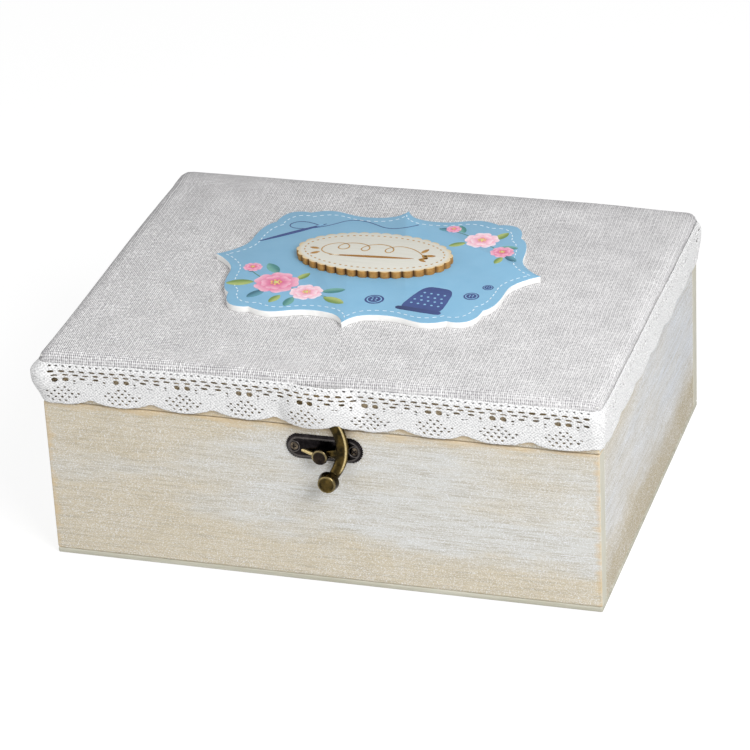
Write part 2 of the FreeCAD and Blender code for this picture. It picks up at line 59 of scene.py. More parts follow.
# Small helpers
def hexColour(text):
    channels = [int(text[i:i + 2], 16) / 255 for i in (1, 3, 5)]
    linear = [c / 12.92 if c <= 0.04045 else ((c + 0.055) / 1.055) ** 2.4 for c in channels]
    return (*linear, 1)


def fillSocket(socket, value):
    # Links a node or a socket, turns a hex colour to linear, sets anything else and leaves None alone
    if isinstance(value, bpy.types.Node):
        value = next(output for output in value.outputs if output.enabled)
    if isinstance(value, bpy.types.NodeSocket):
        socket.id_data.links.new(value, socket)
    elif value is not None:
        socket.default_value = hexColour(value) if isinstance(value, str) else value


def addNode(tree, kind, *values, **settings):
    # Adds a node with its settings, and gives the values to its sockets in their order. A kind in capitals
    # is an operation of the maths node
    made = tree.nodes.new("ShaderNode" + ("Math" if kind.isupper() else kind))
    if kind.isupper():
        made.operation = kind
    elif kind == "Mix":
        made.data_type = "RGBA"
    for name, value in settings.items():
        setattr(made, name, value)
    for socket, value in zip([socket for socket in made.inputs if socket.enabled], values):
        fillSocket(socket, value)
    return made


def setInputs(node, values):
    for name, value in values.items():
        fillSocket(node.inputs[name], value)


def newMaterial(name):
    # A new material, what adds a node to it, and its shader
    material = bpy.data.materials.new(name)
    material.use_nodes = True
    tree = material.node_tree
    shader = next(node for node in tree.nodes if node.type == "BSDF_PRINCIPLED")
    return material, functools.partial(addNode, tree), shader


def deselect():
    # Back to object mode, with nothing selected
    if bpy.context.mode != "OBJECT":
        bpy.ops.object.mode_set(mode="OBJECT")
    bpy.ops.object.select_all(action="DESELECT")


def makeActive(piece):
    deselect()
    piece.select_set(True)
    bpy.context.view_layer.objects.active = piece


def applyAll(piece):
    makeActive(piece)
    bpy.ops.object.transform_apply(location=True, rotation=True, scale=True)


def newMesh(kind, scale=(1, 1, 1), **settings):
    # A primitive with its place, turn and scale applied
    deselect()
    getattr(bpy.ops.mesh, "primitive_" + kind + "_add")(**settings)
    piece = bpy.context.object
    piece.scale = scale
    applyAll(piece)
    return piece


def copyOf(piece):
    copy = piece.copy()
    copy.data = piece.data.copy()
    scene.collection.objects.link(copy)
    return copy


def pick(piece, wanted=lambda item, sheet: True, kind="FACE"):
    # Leaves the piece in edit mode with only the wanted faces or edges selected, and returns its sheet
    makeActive(piece)
    bpy.ops.object.mode_set(mode="EDIT")
    bpy.ops.mesh.select_mode(type=kind)
    bpy.ops.mesh.select_all(action="DESELECT")
    sheet = bmesh.from_edit_mesh(piece.data)
    for item in sheet.faces if kind == "FACE" else sheet.edges:
        item.select_set(bool(wanted(item, sheet)))
    bmesh.update_edit_mesh(piece.data)
    return sheet


def looksUp(face, sheet):
    return face.normal.z > 0.9


def looksDown(face, sheet):
    return face.normal.z < -0.9


def applyModifier(piece, kind, **settings):
    makeActive(piece)
    bpy.ops.object.modifier_add(type=kind)
    modifier = piece.modifiers[-1]
    for name, value in settings.items():
        setattr(modifier, name, value)
    bpy.ops.object.modifier_apply(modifier=modifier.name)


def easeEdges(piece, width, segments, angle):
    # Rounds the edges sharper than the angle in degrees
    applyModifier(piece, "BEVEL", width=width * mm, segments=segments, limit_method="ANGLE",
                  angle_limit=math.radians(angle))


def combine(piece, other, operation):
    applyModifier(piece, "BOOLEAN", object=other, operation=operation, solver="EXACT")
    bpy.data.objects.remove(other)


def smoothShade(piece, angle=None):
    makeActive(piece)
    if angle is None:
        bpy.ops.object.shade_smooth()
    else:
        bpy.ops.object.shade_smooth_by_angle(angle=math.radians(angle))


def keepFlat(piece):
    # The flat cloth's own measures in metres become its UV map
    layer = piece.data.uv_layers.get("cloth") or piece.data.uv_layers.new(name="cloth")
    for loop in piece.data.loops:
        layer.data[loop.index].uv = piece.data.vertices[loop.vertex_index].co.xy


def finishPiece(piece, name, material, body, node=None):
    applyAll(piece)
    piece.name = piece.data.name = name
    piece.data.materials.clear()
    piece.data.materials.append(material)
    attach(piece, body)
    if node:
        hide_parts(node)
    return piece


def smoothStep(low, high, value):
    share = min(max((value - low) / (high - low), 0), 1)
    return share * share * (3 - 2 * share)


def turned(u, v, angle):
    angle = math.radians(angle)
    return u * math.cos(angle) - v * math.sin(angle), u * math.sin(angle) + v * math.cos(angle)


def inMetres(*spot):
    return tuple(value * mm for value in spot)


# Materials
rawTones = ("#E2CFA8", "#C6A976")


def limedBoard(name, grain, top, bottom, palerTo=0.0, rubbing=0.6, foot=(24, 0.5), pale="#D2D3D0",
               tan="#CABFA7", limeEdge=(0.32, 0.58)):
    # Limed pine, brushed and sanded back: a warm pale ground with hair-fine grain, white lime left in the
    # pores and scuffed about in patches, tan where the edges were rubbed, raw wood inside
    material, add, shader = newMaterial(name)
    coords = add("TexCoord").outputs["Object"]
    x, y, z = add("SeparateXYZ", coords).outputs
    lengthwise = "XY".index(grain)
    along, halfLong = ((x, halfWide), (y, halfDeep))[lengthwise]

    def grainNoise(long, wide, detail, rough, offset=0.0, slant=0.0):
        # A noise drawn out along the grain, from its length and width in mm, or at a slant to it
        turn, scale = [0.0] * 3, [1 / (wide * mm)] * 3
        turn[1 - lengthwise] = math.radians(slant)
        scale[lengthwise] = 1 / (long * mm)
        slanted = add("VectorRotate", coords, None, turn, rotation_type="EULER_XYZ")
        return add("TexNoise", add("Mapping", slanted, (offset,) * 3, None, scale), 1.0, detail, rough)

    patches = grainNoise(95, 26, 4, 0.6)
    streaks = grainNoise(55, 0.9, 4, 0.62, 3.1)
    fibres = grainNoise(13, 0.38, 3, 0.6, 7.7)
    grit = grainNoise(0.62, 0.36, 2, 0.6, 5.3)
    gathers = grainNoise(34, 15, 3, 0.6, 1.3)
    scuffs = grainNoise(1.9, 0.45, 3, 0.65, 1.9, 32)
    crossScuffs = grainNoise(1.6, 0.45, 3, 0.65, 6.9, -38)
    rub = grainNoise(20, 3.2, 3, 0.6, 9.4)

    # Room to the board's ends, top and foot
    endRoom = add("SUBTRACT", halfLong * mm, add("ABSOLUTE", along))
    topRoom = add("SUBTRACT", top * mm, z)
    footRoom = add("SUBTRACT", z, bottom * mm)

    # Where the lime lies thick: in patches, less of it towards the foot and the top, more towards one end
    endShift = add("MapRange", along, -110 * mm, 60 * mm, -palerTo, palerTo)
    ragged = add("MULTIPLY_ADD", gathers, 30 * mm, footRoom)
    footShift = add("MapRange", ragged, 15 * mm, (15 + foot[0]) * mm, -foot[1], 0)
    topShift = add("MapRange", topRoom, 0, 12 * mm, -0.32 * rubbing, 0)
    thick = patches
    for shift in (endShift, footShift, topShift):
        thick = add("ADD", thick, shift)
    footShare = add("MapRange", footShift, 0, -0.6 * foot[1] - 0.01)
    bareWood = add("Mix", footShare, "#CABFA7", tan)
    ground = add("Mix", add("MapRange", thick, *limeEdge), bareWood, pale)
    streaked = add("Mix", add("MapRange", streaks, 0.48, 0.74, 0, 0.24), ground, "#BFB296")
    fibred = add("Mix", add("MapRange", fibres, 0.46, 0.66, 0, 0.6), streaked, "#A09680")

    # White lime: grit all over, and scuffs both ways across the grain where it gathers
    gritShare = add("MapRange", grit, 0.50, 0.66, 0, 0.7)
    eitherWay = add("MAXIMUM", scuffs, crossScuffs)
    scuffShare = add("MapRange", eitherWay, 0.58, 0.66)
    gathered = add("MapRange", gathers, 0.46, 0.62, 0.10, 0.95)
    scuffed = add("MULTIPLY", scuffShare, gathered)
    limeShare = add("MAXIMUM", gritShare, scuffed)
    limed = add("Mix", limeShare, fibred, "#EFF1F6")

    # Rubbed edges
    edgeRoom = add("MINIMUM", endRoom, topRoom)
    wander = add("SUBTRACT", rub, 0.5)
    wandering = add("MULTIPLY_ADD", wander, 12 * mm, edgeRoom)
    outer = add("Mix", add("MapRange", wandering, 3 * mm, 0, 0, rubbing), limed, "#D2B98F")

    # End grain drinks more of the lime: grey-green, with the layers standing up and down
    if grain == "X":
        layers = add("Mapping", coords, None, None, (0, 1 / (0.5 * mm), 1 / (9 * mm)))
        endTone = add("Mix", add("TexNoise", layers, 1.0, 3), "#A8A99B", "#E0E0D6")
        isEnd = add("LESS_THAN", endRoom, 0.15 * mm)
        outer = add("Mix", add("MULTIPLY", isEnd, 0.8), outer, endTone)

    # Inside the box, more than this far from its outside, the wood was never limed
    limedDepth = 1.2
    isOutside = 0
    for across, half in ((x, halfWide), (y, halfDeep)):
        away = add("ABSOLUTE", across)
        isOut = add("GREATER_THAN", away, (half - limedDepth) * mm)
        isOutside = add("MAXIMUM", isOutside, isOut)
    inner = add("Mix", streaks, "#E3CFA6", "#C9AB78")
    relief = add("SUBTRACT", fibres, limeShare)
    setInputs(shader, {
        "Base Color": add("Mix", isOutside, inner, outer),
        "Roughness": add("MapRange", fibres, 0, 1, 0.62, 0.86),
        "Normal": add("Bump", 0.35, 0.12 * mm, None, relief),
        "IOR": 1.5, "Specular IOR Level": 0.3})
    return material


def rawPlywood(name, grain, tones, rawAbove=None):
    # Thin birch-faced plywood, sanded and left raw: even straw colour with fine long grain, and the same
    # above a height where only the rest was limed
    material, add, shader = newMaterial(name)
    coords = add("TexCoord").outputs["Object"]
    scale = [1 / (3.2 * mm)] * 3
    scale["XY".index(grain)] = 1 / (70 * mm)
    figure = add("TexNoise", add("Mapping", coords, None, None, scale), 1.0, 6, 0.65, None, 0.4)
    spread = add("MapRange", figure, 0.32, 0.68)
    colour = add("Mix", spread, *tones)
    if rawAbove:
        height = add("SeparateXYZ", coords).outputs["Z"]
        isInside = add("GREATER_THAN", height, rawAbove * mm)
        colour = add("Mix", isInside, colour, add("Mix", spread, *rawTones))
    setInputs(shader, {
        "Base Color": colour,
        "Roughness": add("MapRange", figure, 0, 1, 0.6, 0.8),
        "Normal": add("Bump", 0.25, 0.1 * mm, None, figure),
        "IOR": 1.5, "Specular IOR Level": 0.3})
    return material


def plainWeaveLinen():
    # Half-bleached linen in plain weave, its threads 0.85 mm apart one way and 1.31 mm the other and two
    # degrees out of square with the box: pinholes between the threads, crossings over and under, slubs
    # and loose fluff
    warpPitch, weftPitch, skew = 0.85, 1.31, -2
    material, add, shader = newMaterial("halfBleachedLinen")
    coords = add("UVMap", uv_map="cloth")
    drifted = coords
    for blotch, drift in ((30, 2.0), (3, 0.4)):
        wander = add("TexNoise", coords, 1 / (blotch * mm), 2).outputs["Color"]
        drifted = add("VectorMath", wander, (drift * mm,) * 3, drifted, operation="MULTIPLY_ADD")
    skewed = add("Mapping", drifted, None, (0, 0, math.radians(skew)))
    perMetre = (math.pi / (warpPitch * mm), math.pi / (weftPitch * mm), 1)
    threads = add("VectorMath", skewed, perMetre, operation="MULTIPLY")
    warp, weft = add("SeparateXYZ", threads).outputs[:2]
    everySecond = add("COSINE", warp)
    crossing = add("MULTIPLY", everySecond, add("COSINE", weft))
    gaps = []
    for thread in (warp, weft):
        room = add("SINE", thread)
        gaps.append(add("MULTIPLY", room, room))

    def slubs(long, wide, offset):
        # Thick and thin places along single threads
        scale = (1 / (long * mm), 1 / (wide * mm), 1)
        return add("TexNoise", add("Mapping", coords, (offset, offset, 0), None, scale), 1.0, 3, 0.6)

    # Pinholes where four threads meet, some of them wide open and some closed
    weftShare = add("MULTIPLY_ADD", gaps[1], 0.75, 0.25)
    pinholes = add("MULTIPLY", gaps[0], weftShare)
    openness = add("MapRange", slubs(1.2, 1.7, 8.0), 0.36, 0.66, 0.3, 1.9)
    pinholes = add("MULTIPLY", pinholes, openness)
    pinholes = add("SUBTRACT", pinholes, 0.34)
    # The cloth is drawn tighter towards the right, where the weave shows less
    x, y = add("SeparateXYZ", coords).outputs[:2]
    looseness = add("MapRange", x, -110 * mm, 100 * mm, 1.1, 0.6)
    crossing = add("MULTIPLY", crossing, looseness)
    # The pinholes show most at the front left and least where the cloth turns down over the edge
    for axis, near, far, first, last in ((x, -110, 100, 1.85, 0.85), (y, -60, 80, 1.1, 0.7),
                                         (y, -97, -92.5, 0.8, 1.0)):
        opening = add("MapRange", axis, near * mm, far * mm, first, last)
        pinholes = add("MULTIPLY", pinholes, opening)
    # Painted shade: greyer towards the back and where it rolls over the left, back and front edges
    rearShade, leftRollShade, backRollShade, frontRollShade = [
        add("MapRange", axis, start * mm, end * mm)
        for axis, start, end in ((y, 10, 90), (x, -114.5, -121), (y, 83, 94), (y, -88.5, -92.5))]
    fluff = add("TexNoise", coords, 1 / (0.5 * mm), 2)
    clouds = add("TexNoise", coords, 1 / (14 * mm), 3)
    tone = -0.827
    for part, weight in (
            (pinholes, -0.58), (everySecond, 0.055), (crossing, 0.085), (slubs(warpPitch, 14, 2.0), 0.4),
            (slubs(12, weftPitch, 5.0), 0.35), (fluff, 0.75), (clouds, 0.3), (rearShade, -0.055),
            (leftRollShade, -0.2), (backRollShade, -0.12), (frontRollShade, -0.09), (looseness, -0.1)):
        tone = add("MULTIPLY_ADD", part, weight, tone)
    setInputs(shader, {
        "Base Color": add("Mix", add("MapRange", tone, -0.46, 0.46), "#838184", "#FBFAFA"),
        "Normal": add("Bump", 0.4, 0.14 * mm, None, tone),
        "Roughness": 0.9, "Specular IOR Level": 0.15, "Sheen Weight": 0.15})
    return material


def crochetCotton():
    # Bleached cotton worked into lace: white and matt, its stitches lying in a fine slanting lattice
    # 0.8 mm apart, drawn a little coarser than the real one so that it shows
    material, add, shader = newMaterial("whiteCottonLace")
    coords = add("UVMap", uv_map="cloth")
    wobble = add("TexNoise", coords, 1 / (2.2 * mm), 2).outputs["Color"]
    wobbled = add("VectorMath", wobble, (1.1 * mm,) * 3, coords, operation="MULTIPLY_ADD")
    perMetre = (math.pi / (0.8 * mm), math.pi / (0.7 * mm), 1)
    slanting = add("Mapping", wobbled, None, (0, 0, math.radians(6)), perMetre)
    oneWay, otherWay = [
        add("SINE", axis) for axis in add("SeparateXYZ", slanting).outputs[:2]]
    stitches = add("MULTIPLY", oneWay, otherWay)
    yarn = add("TexNoise", coords, 1 / (0.7 * mm), 3)
    both = add("MULTIPLY_ADD", stitches, 0.13, yarn)
    setInputs(shader, {
        "Base Color": add("Mix", add("MapRange", both, 0.30, 0.62), "#C0C0C1", "#F3F3F3"),
        "Normal": add("Bump", 0.7, 0.25 * mm, None, both),
        "Roughness": 0.85, "Specular IOR Level": 0.2, "Sheen Weight": 0.1})
    return material


def polyesterWadding():
    # Thin polyester wadding, matt white fleece
    material, add, shader = newMaterial("polyesterWadding")
    fluff = add("TexNoise", add("TexCoord").outputs["Object"], 1 / (2.5 * mm), 5)
    setInputs(shader, {
        "Base Color": add("Mix", fluff, "#D8D7D3", "#F5F4F1"),
        "Normal": add("Bump", 0.6, 0.5 * mm, None, fluff),
        "Roughness": 0.95})
    return material


def antiqueBrass(name, dark, gold, bare="#D9C48E", rings=(), bareLeft=None, lipWearAndReflection=None, dullAbove=None):
    # Die-cast brass, blackened and relieved: a nearly black glossy patina, olive gold where hands rub it and
    # bare brass on the ridges. A ring is such a ridge round an axis that points out of the front of the box,
    # its bare
    # brass also a painted highlight: its centre's x and z, its radius and half width, how far out and how
    # high it starts in mm, and how bare and bright. A lip is how far out its wear and its painted reflection
    # begin and are full
    material, add, shader = newMaterial(name)
    coords = add("TexCoord").outputs["Object"]
    axes = add("SeparateXYZ", coords).outputs
    cloud = add("TexNoise", coords, 1 / (3 * mm), 4)
    grit = add("TexNoise", coords, 1 / (0.6 * mm), 3)
    colour = add("Mix", add("MapRange", cloud, 0.38, 0.72), dark, gold)
    wearAndHighlights = []
    # Each ring is a line of bare brass that is also a painted highlight on the lit side of a rounded edge
    for x, z, radius, half, out, above, bareAndBright in rings:
        centred = add("Mapping", coords, inMetres(-x, 0, -z), None, (1, 0, 1))
        away = add("VectorMath", centred, operation="LENGTH").outputs["Value"]
        aside = add("SUBTRACT", away, radius * mm)
        aside = add("ABSOLUTE", aside)
        wearAndHighlight = add("MapRange", aside, half * mm, 0.1 * mm, 0, bareAndBright)
        isOut = add("LESS_THAN", axes["Y"], -(halfDeep + out) * mm)
        isHigh = add("MapRange", axes["Z"], above * mm, (above + 2) * mm)
        for limit in (isOut, isHigh):
            wearAndHighlight = add("MULTIPLY", wearAndHighlight, limit)
        wearAndHighlights.append(wearAndHighlight)
    if bareLeft is not None:
        wearAndHighlights.append(add("MapRange", axes["X"], bareLeft * mm, (bareLeft - 1) * mm, 0, 0.75))
    # The raised face: worn, and painted grey as a reflection
    if lipWearAndReflection is not None:
        lipStart, lipEnd = [-(halfDeep + out) * mm for out in lipWearAndReflection]
        wearAndHighlights.append(add("MapRange", axes["Y"], lipStart, lipEnd, 0, 0.35))
    for wearAndHighlight in wearAndHighlights:
        patchy = add("MapRange", grit, 0.2, 0.55, 0.45, 1.0)
        colour = add("Mix", add("MULTIPLY", wearAndHighlight, patchy), colour, bare)
    metallic = 1.0
    if dullAbove is not None:
        # Under the lace the brass was never blackened, and has gone dull and brown
        dull = add("MapRange", axes["Z"], dullAbove * mm, (dullAbove + 1.5) * mm)
        colour = add("Mix", dull, colour, "#CDB78C")
        metallic = add("MapRange", dull, 0, 1, 1.0, 0.15)
    setInputs(shader, {
        "Base Color": colour,
        "Metallic": metallic,
        "Roughness": add("MapRange", grit, 0, 1, 0.16, 0.36),
        "Normal": add("Bump", 0.2, 0.08 * mm, None, grit)})
    return material


def printedBoard(face):
    # Fibreboard with a printed satin face: sky blue on top, white primer on the sawn edge
    edgeDepth = 0.18
    material, add, shader = newMaterial("printedFibreboard")
    coords = add("TexCoord").outputs["Object"]
    height = add("SeparateXYZ", coords).outputs["Z"]
    isFace = add("GREATER_THAN", height, (face["height"] - edgeDepth) * mm)
    blue = add("Mix", add("TexNoise", coords, 1 / (9 * mm), 5), "#7AACCB", "#8AB8D4")
    tooth = add("TexNoise", coords, 1 / (0.6 * mm), 3)
    setInputs(shader, {
        "Base Color": add("Mix", isFace, "#F4F4F2", blue),
        "Normal": add("Bump", 0.12, 0.1 * mm, None, tooth),
        "Roughness": 0.55, "Specular IOR Level": 0.3})
    return material


def cutPlywood(face):
    # Laser-cut poplar plywood: pale face, toasted rim and burnt-brown edge, darkest in the clefts between its
    # scallops, partly burn and partly painted shade
    edgeDepth = 0.14
    material, add, shader = newMaterial("laserCutPlywood")
    coords = add("TexCoord").outputs["Object"]
    height = add("SeparateXYZ", coords).outputs["Z"]
    middle = [-centre / half for centre, half in zip(face["centre"], face["half"])]
    scale = [1 / (half * mm) for half in face["half"]]
    placed = add("Mapping", coords, (*middle, 0), None, (*scale, 0))
    out = add("VectorMath", placed, operation="LENGTH").outputs["Value"]
    grain = add("Mapping", coords, None, None, (1 / (18 * mm), 1 / (1.2 * mm), 1 / (25 * mm)))
    figure = add("TexNoise", grain, 1.0, 4)
    pale = add("Mix", figure, "#DDDCD4", "#CFCDC2")
    toasted = add("Mix", add("MapRange", out, 0.93, 1.0), pale, "#D9BE8B")
    isFace = add("GREATER_THAN", height, (face["height"] - edgeDepth) * mm)
    burnt = add("Mix", add("TexNoise", coords, 1 / (1.6 * mm), 4), "#84511C", "#CF9F5C")
    # Painted shade and a deeper burn: the clefts between the edge's scallops go nearly black
    cleftBurnAndShade = add("MapRange", out, 0.992, 0.955)
    burnt = add("Mix", cleftBurnAndShade, burnt, "#3E2209")
    setInputs(shader, {
        "Base Color": add("Mix", isFace, burnt, toasted),
        "Normal": add("Bump", 0.2, 0.1 * mm, None, figure),
        "Roughness": 0.7, "Specular IOR Level": 0.25})
    return material


def inkedSurface(name, roughness):
    # Printing ink or a laser-burnt line: the colour of each mark, a little uneven, on a satin ground
    material, add, shader = newMaterial(name)
    ink = add("Attribute", attribute_name="ink").outputs["Color"]
    wash = add("TexNoise", add("TexCoord").outputs["Object"], 1 / (1.6 * mm), 4)
    level = add("MapRange", wash, 0, 1, 0.80, 1.16)
    setInputs(shader, {
        "Base Color": add("VectorMath", ink, level, operation="MULTIPLY"),
        "Normal": add("Bump", 0.1, 0.1 * mm, None, wash),
        "Roughness": roughness, "Specular IOR Level": 0.3})
    return material


# Height of the top and foot of the walls, and of what shows of the lid's rails below the lace
walls, rails = (73.4, 2.5), (76.6, 74.0)
frontBoard = limedBoard("limedPineFront", "X", *walls, palerTo=0.10, foot=(27, 0.56), pale="#CECECA")
sideBoard = limedBoard("limedPineSide", "Y", *walls, palerTo=0.07, rubbing=0.0, foot=(30, 0.5),
                       pale="#CDD1D7", tan="#AFA285", limeEdge=(0.16, 0.70))
lidBoard = limedBoard("limedPineLidLong", "X", *rails, foot=(20, 0.2))
lidSideBoard = limedBoard("limedPineLidSide", "Y", *rails, rubbing=0.0, foot=(20, 0.0))
bottomPly = rawPlywood("limedPlywoodBottom", "X", ("#C9C7BA", "#A5A290"), rawAbove=2.45)
insidePly = rawPlywood("rawPlywood", "X", rawTones)
crossPly = rawPlywood("rawPlywoodCross", "Y", rawTones)
linen = plainWeaveLinen()
cotton = crochetCotton()
fleece = polyesterWadding()
brass = antiqueBrass("antiqueBrass", "#2B2620", "#5A4B30")
# The plate's raised face carries a painted grey reflection as well as wear
plateBrass = antiqueBrass("antiqueBrassPlate", "#141213", "#2C2829", bare="#8C8682", lipWearAndReflection=(0.90, 1.12))
coveredBrass = antiqueBrass("antiqueBrassCovered", "#6A583A", "#A08A5C", dullAbove=74)
screwBrass = antiqueBrass("antiqueBrassScrew", "#2E2824", "#7C7060")
# The catch's ring is a painted highlight along the upper rim of its button's face
catchBrass = antiqueBrass("antiqueBrassCatch", "#1E1A18", "#3A3128",
                          rings=[(3.0, 62.5, 2.95, 0.5, 5.0, 60.5, 0.3)], bareLeft=0.4)
# The hook's arm ring is bare brass that also stands for the highlight along its ridge; its knob ring is a
# painted highlight round the knob's face
hookBrass = antiqueBrass("antiqueBrassHook", "#272113", "#5A4A26", dullAbove=77.5,
                         rings=[(-7.77, 66.12, 21.8, 0.55, 1.5, 55.5, 1.0),
                                (6.86, 52.5, 3.6, 0.7, 9.2, 47.5, 0.25)])
blueBoard = printedBoard(plaqueFace)
ovalPly = cutPlywood(ovalFace)

dressedNodes = {
    "front_panel": frontBoard, "back_panel": frontBoard, "left_panel": sideBoard, "right_panel": sideBoard,
    "bottom_panel": bottomPly, "lid_top_panel": insidePly, "long_divider": insidePly,
    "left_cross_divider": crossPly, "right_cross_divider": crossPly,
    "lid_front_rail": lidBoard, "lid_back_rail": lidBoard,
    "lid_left_rail": lidSideBoard, "lid_right_rail": lidSideBoard,
    "hook_plate": coveredBrass, "hook_rivet": coveredBrass,
}
for nodeName, node in nodes.items():
    node.data.materials.clear()
    node.data.materials.append(dressedNodes.get(nodeName, brass))
print("materials on", len(nodes), "pieces of the frame")


# Wadding under the linen, thinner towards its edges
waddingSizes = {"low": 92.8, "high": 96.2, "halfWide": 119.4, "halfDeep": 93.4, "cuts": 23, "thinner": 1.5,
                "thinFrom": 16, "ease": 0.8}


def makeWadding(sizes):
    long, wide, thick = 2 * sizes["halfWide"], 2 * sizes["halfDeep"], sizes["high"] - sizes["low"]
    pad = newMesh("cube", inMetres(long, wide, thick), size=1)
    pad.location.z = (sizes["low"] + sizes["high"]) / 2 * mm
    pick(pad)
    bpy.ops.mesh.subdivide(number_cuts=sizes["cuts"])
    deselect()
    for corner in pad.data.vertices:
        room = min(sizes["halfWide"] - abs(corner.co.x) / mm, sizes["halfDeep"] - abs(corner.co.y) / mm)
        if corner.co.z > 0:
            corner.co.z -= sizes["thinner"] * mm * (1 - smoothStep(0, sizes["thinFrom"], room))
    easeEdges(pad, sizes["ease"], 2, 50)
    smoothShade(pad)
    finishPiece(pad, "waddingPad", fleece, "lid", "wadding_pad")


makeWadding(waddingSizes)
print("wadding laid on the lid")


# Linen drawn over the wadding and glued down over the lid's edge
linenSizes = {"halfWide": 120.6, "halfDeep": 94.6, "turn": 4.2, "cell": 2.1, "top": 97.18, "roll": 4.6,
              "thickness": 0.45}


def linenPuff(x, y):
    # The wadding stands up behind and to the left of the plaque, which presses the rest flat
    behind = 1.9 * smoothStep(66, 84, y) * (1 - 0.6 * smoothStep(70, 118, x))
    beside = 1.4 * smoothStep(76, 98, -x) * smoothStep(-95, 40, y)
    return max(behind, beside)


def linenLean(y):
    # How far the left edge swells out towards the back
    return 1.9 * smoothStep(-80, 70, y)


def linenHeight(x, y, sizes):
    # Height of the cover from its distance to the lid's edge, with the small waves of hand stretching
    room = min(sizes["halfWide"] - abs(x), sizes["halfDeep"] - abs(y))
    crown = sizes["top"] - 0.25 * (1 - smoothStep(0, 26, room)) + linenPuff(x, y)
    waves = 0.3 * noise.noise(Vector((x / 34, y / 34, 1.7)))
    waves += 0.09 * noise.noise(Vector((x / 12, y / 12, 8.2)))
    return crown + (waves - 0.2) * smoothStep(-1, 5, room) * (1 - smoothStep(16, 24, room))


def makeLinen(sizes):
    flatSize = inMetres(*[2 * (sizes[half] + sizes["turn"]) for half in ("halfWide", "halfDeep")])
    across, along = [round(length / mm / sizes["cell"]) for length in flatSize]
    cover = newMesh("grid", (*flatSize, 1), x_subdivisions=across, y_subdivisions=along, size=1)
    keepFlat(cover)
    roll = sizes["roll"]
    spanX, spanY = sizes["halfWide"] - roll, sizes["halfDeep"] - roll
    for point in cover.data.vertices:
        x, y = point.co.x / mm, point.co.y / mm
        # Distance outside the flat top, measured round the rounded corners
        overX, overY = max(abs(x) - spanX, 0), max(abs(y) - spanY, 0)
        over = (overX ** 3 + overY ** 3) ** (1 / 3)
        top = linenHeight(x, y, sizes)
        if over <= 0:
            point.co.z = top * mm
            continue
        # A quarter turn over the edge, then straight down
        bend = over / roll
        if bend < math.pi / 2:
            out, drop = roll * math.sin(bend), roll * (1 - math.cos(bend))
        else:
            out, drop = roll, roll + (over - roll * math.pi / 2)
        dirX, dirY = math.copysign(overX / over, x), math.copysign(overY / over, y)
        lean = linenLean(y) * smoothStep(0, roll, over) if dirX < 0 else 0
        point.co = inMetres(math.copysign(min(abs(x), spanX), x) + dirX * (out + lean),
                            math.copysign(min(abs(y), spanY), y) + dirY * out, top - drop)
    applyModifier(cover, "SOLIDIFY", thickness=sizes["thickness"] * mm, offset=-1)
    smoothShade(cover)
    finishPiece(cover, "linenCover", linen, "lid", "linen_cover")
    return cover


print("linen drawn over the lid,", len(makeLinen(linenSizes).data.polygons), "faces")


# Cotton lace: one 27 mm repeat is worked as a net of cells, 18 to the repeat
laceSizes = {"repeat": 27.0, "cells": 18, "top": 93.6, "fanTop": 83.8, "tip": 74.4, "scallop": 2.9,
             "picot": 0.26, "cord": 0.55, "border": 0.04, "standoff": 1.4, "corner": 4.4, "uneven": 0.4,
             "eyeletRows": (7, 9), "eyeletColumns": (7, 9, 10, 12), "meet": 75.4, "darned": 2.2, "blend": 0.8}
# Height of each row from the header down in mm, and what is worked in it
laceRows = [(0.7, "plain"), (0.85, "beads"), (1.2, "plain"), (1.05, "slits"), (0.7, "plain"),
            (0.95, "slitsBetween"), (0.5, "plain"), (1.15, "eyeletsHigh"), (1.15, "eyeletsLow"),
            (0.4, "plain"), (0.6, "dots"), (0.55, "plain")]
# The fan over each tip: height of a row, and how far its holes reach to each side
fanRows = [(0.5, 0.0), (1.15, 3.4), (0.45, 0.0), (1.15, 6.4), (0.45, 0.0), (1.15, 9.3), (0.45, 0.0),
           (1.15, 7.9), (0.45, 0.0), (1.15, 4.9), (1.35, 0.0)]
# Which of a row's 18 cells are open
openCells = {"plain": (), "beads": range(0, 18, 2), "slits": [cell for cell in range(18) if cell % 3 != 2],
             "slitsBetween": [cell for cell in range(18) if cell % 3 != 0], "dots": (0, 4, 13, 17),
             "eyeletsHigh": (1, 2, 7, 8, 10, 11, 15, 16), "eyeletsLow": (4, 7, 8, 10, 11, 13)}


def isOpen(row, cell, sizes):
    if row < len(laceRows):
        return cell in openCells[laceRows[row][1]]
    fanRow = row - len(laceRows)
    aside = abs(cell + 0.5 - sizes["cells"] / 2) * sizes["repeat"] / sizes["cells"]
    return aside < fanRows[fanRow][1] and (fanRow // 2 + cell) % 2 == 0


def scallopEdge(along, sizes):
    # Height of the scalloped edge, from the place along the repeats
    fromTip = abs(2 * (along / sizes["repeat"] % 1) - 1)
    return sizes["tip"] + sizes["scallop"] * fromTip ** 2.2


